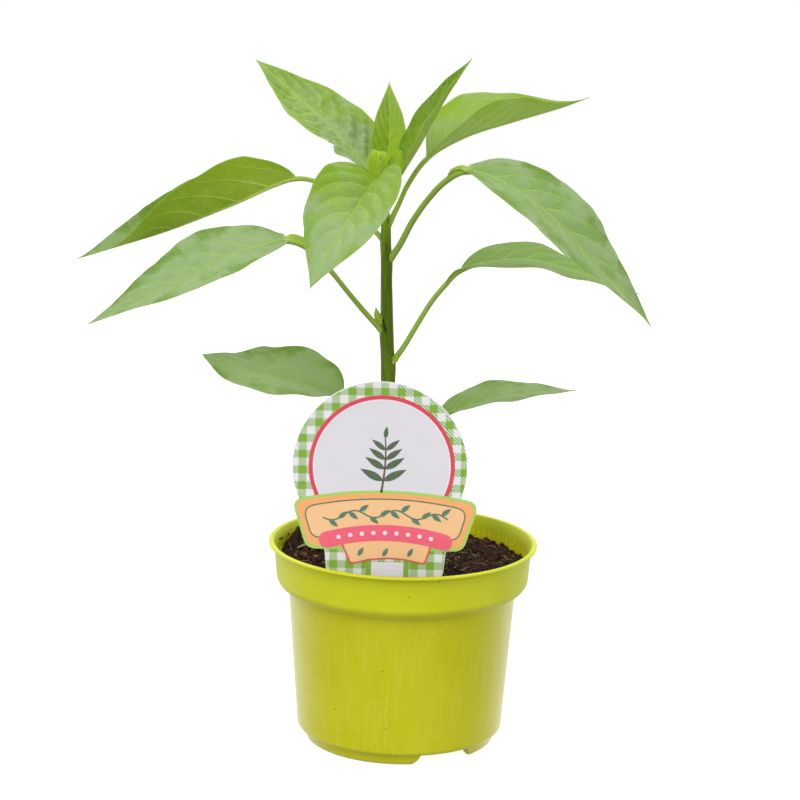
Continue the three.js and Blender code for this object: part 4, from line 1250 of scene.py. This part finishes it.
def slab(outline, top, bottom):
    """Points and faces of a flat shape in the card's plane, between two distances in front of its face."""
    outline = np.asarray(outline, float)
    area = np.sum(outline[:, 0] * np.roll(outline[:, 1], -1) - np.roll(outline[:, 0], -1) * outline[:, 1])
    if area < 0:
        outline = outline[::-1]
    count = len(outline)
    points = [(x, CARD["front"] - d, z) for d in (top, bottom) for x, z in outline]
    faces = [list(range(count)), list(range(2 * count - 1, count - 1, -1))]
    turn = np.arange(count)
    after = (turn + 1) % count
    faces += np.stack([turn, count + turn, count + after, after], -1).tolist()
    return points, faces


def band(path, width, closed=False):
    """The two edges of a line of a width along a path."""
    path = np.asarray(path, float)
    along = np.roll(path, -1, 0) - np.roll(path, 1, 0) if closed else np.gradient(path, axis=0)
    along /= np.linalg.norm(along, axis=1, keepdims=True)
    side = np.stack([-along[:, 1], along[:, 0]], -1) * np.broadcast_to(width, len(path))[:, None] / 2
    return path + side, path - side


def strip(path, width, level, closed=False):
    """Points and faces of a printed line, raised to a print level."""
    outer, inner = band(path, width, closed)
    count = len(outer)
    front, back = CARD["front"] - level * LAYER, CARD["front"] + LAYER
    rows = [(outer, front), (inner, front), (inner, back), (outer, back)]
    points = [(p[i][0], y, p[i][1]) for i in range(count) for p, y in rows]
    last = count if closed else count - 1
    faces = []
    for i in range(last):
        a, b = 4 * i, 4 * ((i + 1) % count)
        faces += [[a + k, b + k, b + (k + 1) % 4, a + (k + 1) % 4] for k in range(4)]
    if not closed:
        end = 4 * (count - 1)
        faces += [[3, 2, 1, 0], [end, end + 1, end + 2, end + 3]]
    return points, faces


def print_piece(name, shapes, material, replaces=None):
    """Joins printed shapes of one ink into a piece."""
    add_piece(name, *joined(shapes), [material], "label_card", replaces=replaces, crease=40)


def layer(outline, level):
    """A printed field as a very thin sheet, whose front stands at a print level."""
    return slab(outline, level * LAYER, -LAYER)


def banner_side(shape, sign):
    """The end of the banner's arched top and its upper and lower corner on one side, from the top down."""
    top, fall, (half, shoulder, turn), (foot, low, foot_turn) = BANNER[shape]
    end = half - turn
    return [(BANNER["x"] + sign * end, top - fall * end**2, 0), (BANNER["x"] + sign * half, shoulder, turn),
            (BANNER["x"] + sign * foot, low, foot_turn)]


def banner_outline(shape):
    """The banner's closed outline: an arched top, slanted sides and round corners."""
    top, fall, (half, _, turn), _ = BANNER[shape]
    arch = [(BANNER["x"] + u, top - fall * u**2, 0) for u in np.linspace(turn - half, half - turn, 33)[1:-1]]
    return rounded([*arch, *banner_side(shape, 1), *banner_side(shape, -1)[::-1]])


def head_arc(inset, level, steps=120):
    """The round head's edge from a height at its right over the top to the same height at its left."""
    x, z = CARD["head"]
    radius = CARD["head_radius"] - inset
    start = math.degrees(math.asin((level - z) / radius))
    return arc((x, z), radius, start, 180 - start, steps)


def stake_side(sign, margin=0.0):
    """The stake's corners on one side, from the top down, as x, height and round."""
    rounds = (0, 2, 3, 0.6)
    return [(CARD["stake_x"] + sign * (half - margin), z, turn) for (half, z), turn in zip(STAKE, rounds)]


def card_outline():
    head = [(x, z, 0) for x, z in head_arc(0, 121.8)]
    left = [*banner_side("edge", -1), *stake_side(-1)]
    right = [*banner_side("edge", 1), *stake_side(1)]
    return rounded([*head, *left, *right[::-1]])


def lens(base, angle, length, width, steps=10):
    """A pointed leaf shape from its base, in a direction."""
    share = np.linspace(0, 1, steps)
    rise = width / 2 * np.sin(math.pi * share**0.8)
    across = np.concatenate([rise, -rise[::-1][1:-1]])
    along = np.concatenate([share, share[::-1][1:-1]]) * length
    a = math.radians(angle)
    return [(base[0] + u * math.cos(a) - v * math.sin(a), base[1] + u * math.sin(a) + v * math.cos(a))
            for u, v in zip(along, across)]


def disc(centre, radius, steps=24):
    return arc(centre, radius, 0, 360, steps)[:-1]


def arched(x, height, fall):
    """A height on an arch about the banner's middle."""
    return height - fall * (x - BANNER["x"]) ** 2


def make_label():
    card = slab(card_outline(), 0, -CARD["thickness"])
    print_piece("label_card", [card], ink("white", 0.15), replaces="label")

    # Gingham on the head and the stake, inside the card's edge.
    margin = 0.35
    stake = [stake_side(-1, margin)[:3], stake_side(1, margin)[2::-1]]
    stake = [(x, z) for side in stake for x, z, _ in side]
    print_piece("label_gingham", [layer(head_arc(margin, 119.5), 1), layer(stake, 1)], gingham_ink())

    radius, width = RING["radius"], RING["width"]
    field, inner, ring = (disc(RING["centre"], radius - inset, RING["steps"])
                          for inset in (0.5, width + RING["white"] / 2, width / 2))
    print_piece("label_disc", [layer(field, 2)], ink("disc"))
    print_piece("label_ring_inner", [strip(inner, RING["white"], 3, closed=True)], ink("white"))
    print_piece("label_ring", [strip(ring, width, 4, closed=True)], ink("ring"))
    make_sprig()
    make_banner()
    make_tendril()
    make_ribbon()
    make_patch()


def make_sprig():
    """A plain sprig that stands in the disc: a curved stalk with pairs of long leaves."""
    x0, z0 = RING["centre"]
    count, foot, height = SPRIG["points"], z0 - SPRIG["below_centre"], SPRIG["height"]
    stalk_line = [(x0 + 1.6 * math.sin(2.2 * t), foot + height * t) for t in np.linspace(0, 1, count)]
    leaves, ribs, widths = [], [], np.linspace(*SPRIG["widths"], count)
    for t in SPRIG["pairs"]:
        x, z = stalk_line[round(t * (count - 1))]
        size = 12.5 - 6 * t
        for side in (-1, 1):
            angle = 90 - side * (66 - 18 * t)
            leaves.append(layer(lens((x, z), angle, size, size * 0.3), 4))
            a = math.radians(angle)
            end = (x + 0.85 * size * math.cos(a), z + 0.85 * size * math.sin(a))
            ribs.append(strip([(x, z), end], 0.3, 5))
    x, z = stalk_line[-1]
    leaves.append(layer(lens((x, z), 84, 5.5, 2), 4))
    print_piece("label_sprig_leaves", leaves, ink("leaf"))
    print_piece("label_sprig_stalk", [strip(stalk_line, widths, 5), *ribs], ink("bark"))


def make_banner():
    """The wide shaped shoulder of the label, from its edge in to its panel, and what is printed on it."""
    for level, (part, colour) in enumerate((("edge", "border"), ("field", "orange"), ("panel", "peach")), 5):
        print_piece("label_banner_" + part, [layer(banner_outline(part), level)], ink(colour))
    print_piece("label_banner_line", [strip(banner_outline("panel"), 0.6, 8, closed=True)], ink("teal"))


def make_tendril():
    """A winding tendril with leaves along the banner."""
    middle, reach, wave = BANNER["x"], TENDRIL["reach"], 2 * math.pi / TENDRIL["wave_length"]
    xs = np.linspace(middle - reach, middle + reach, 121)
    vine = [(x, arched(x, *TENDRIL["arch"]) + TENDRIL["wave"] * math.sin((x - middle) * wave)) for x in xs]
    sides = [-1, 1] * (TENDRIL["leaves"] // 2)
    leaves = [layer(lens(vine[int(6 + number * 9.9)], 38 * side, 5.2, 2.1), 9)
              for number, side in enumerate(sides)]
    print_piece("label_tendril", [strip(vine, TENDRIL["width"], 8)], ink("teal"))
    print_piece("label_tendril_leaves", leaves, ink("teal"))


def make_ribbon():
    """The arched ribbon, with plain dots, over a plate that hangs under it."""
    print_piece("label_plate_edge", [layer(rounded(PLATE["edge"]), 8)], ink("red"))
    print_piece("label_plate", [layer(rounded(PLATE["field"]), 9)], ink("peach"))
    icons = [layer(lens((x, 95.2), 60, 4.6, 2), 10) for x in (-19.5, -8.8, 2.0)]
    print_piece("label_plate_icons", icons, ink("teal"))
    path = [(x, arched(x, *RIBBON["arch"])) for x in np.linspace(*RIBBON["ends"], 60)]
    outer, inner = band(path, RIBBON["width"])
    heading = math.degrees(math.atan2(path[-1][1] - path[-2][1], path[-1][0] - path[-2][0]))
    right_cap = arc(path[-1], RIBBON["width"] / 2, heading + 90, heading - 90, 16)[1:-1]
    left_cap = arc(path[0], RIBBON["width"] / 2, 270 - heading, 90 - heading, 16)[1:-1]
    ribbon = [*map(tuple, outer), *right_cap, *map(tuple, inner[::-1]), *left_cap]
    print_piece("label_ribbon", [layer(ribbon, 11)], ink("pink"))
    spots = [(x, arched(x, *RIBBON["arch"])) for x in np.linspace(*RIBBON["dots"], 9)]
    print_piece("label_ribbon_dots", [layer(disc(spot, 0.95), 12) for spot in spots], ink("white"))


def make_patch():
    """A plain white patch between two green bars, low on the stake."""
    patch = layer([(-13.7, 92.6), (0.3, 92.6), (0.3, 79), (-13.7, 79)], 3)
    bars = [layer([(x, 93.5), (x + 2.35, 93.5), (x + 2.35, 79), (x, 79)], 3) for x in (-16.05, 0.3)]
    print_piece("label_patch", [patch], ink("white"))
    print_piece("label_bars", bars, ink("green"))


make_camera()
make_world()
make_lights()
make_floor()
make_pot()
make_soil()
make_crumbs()
make_fibres()
make_stem()
make_leaves()
make_label()
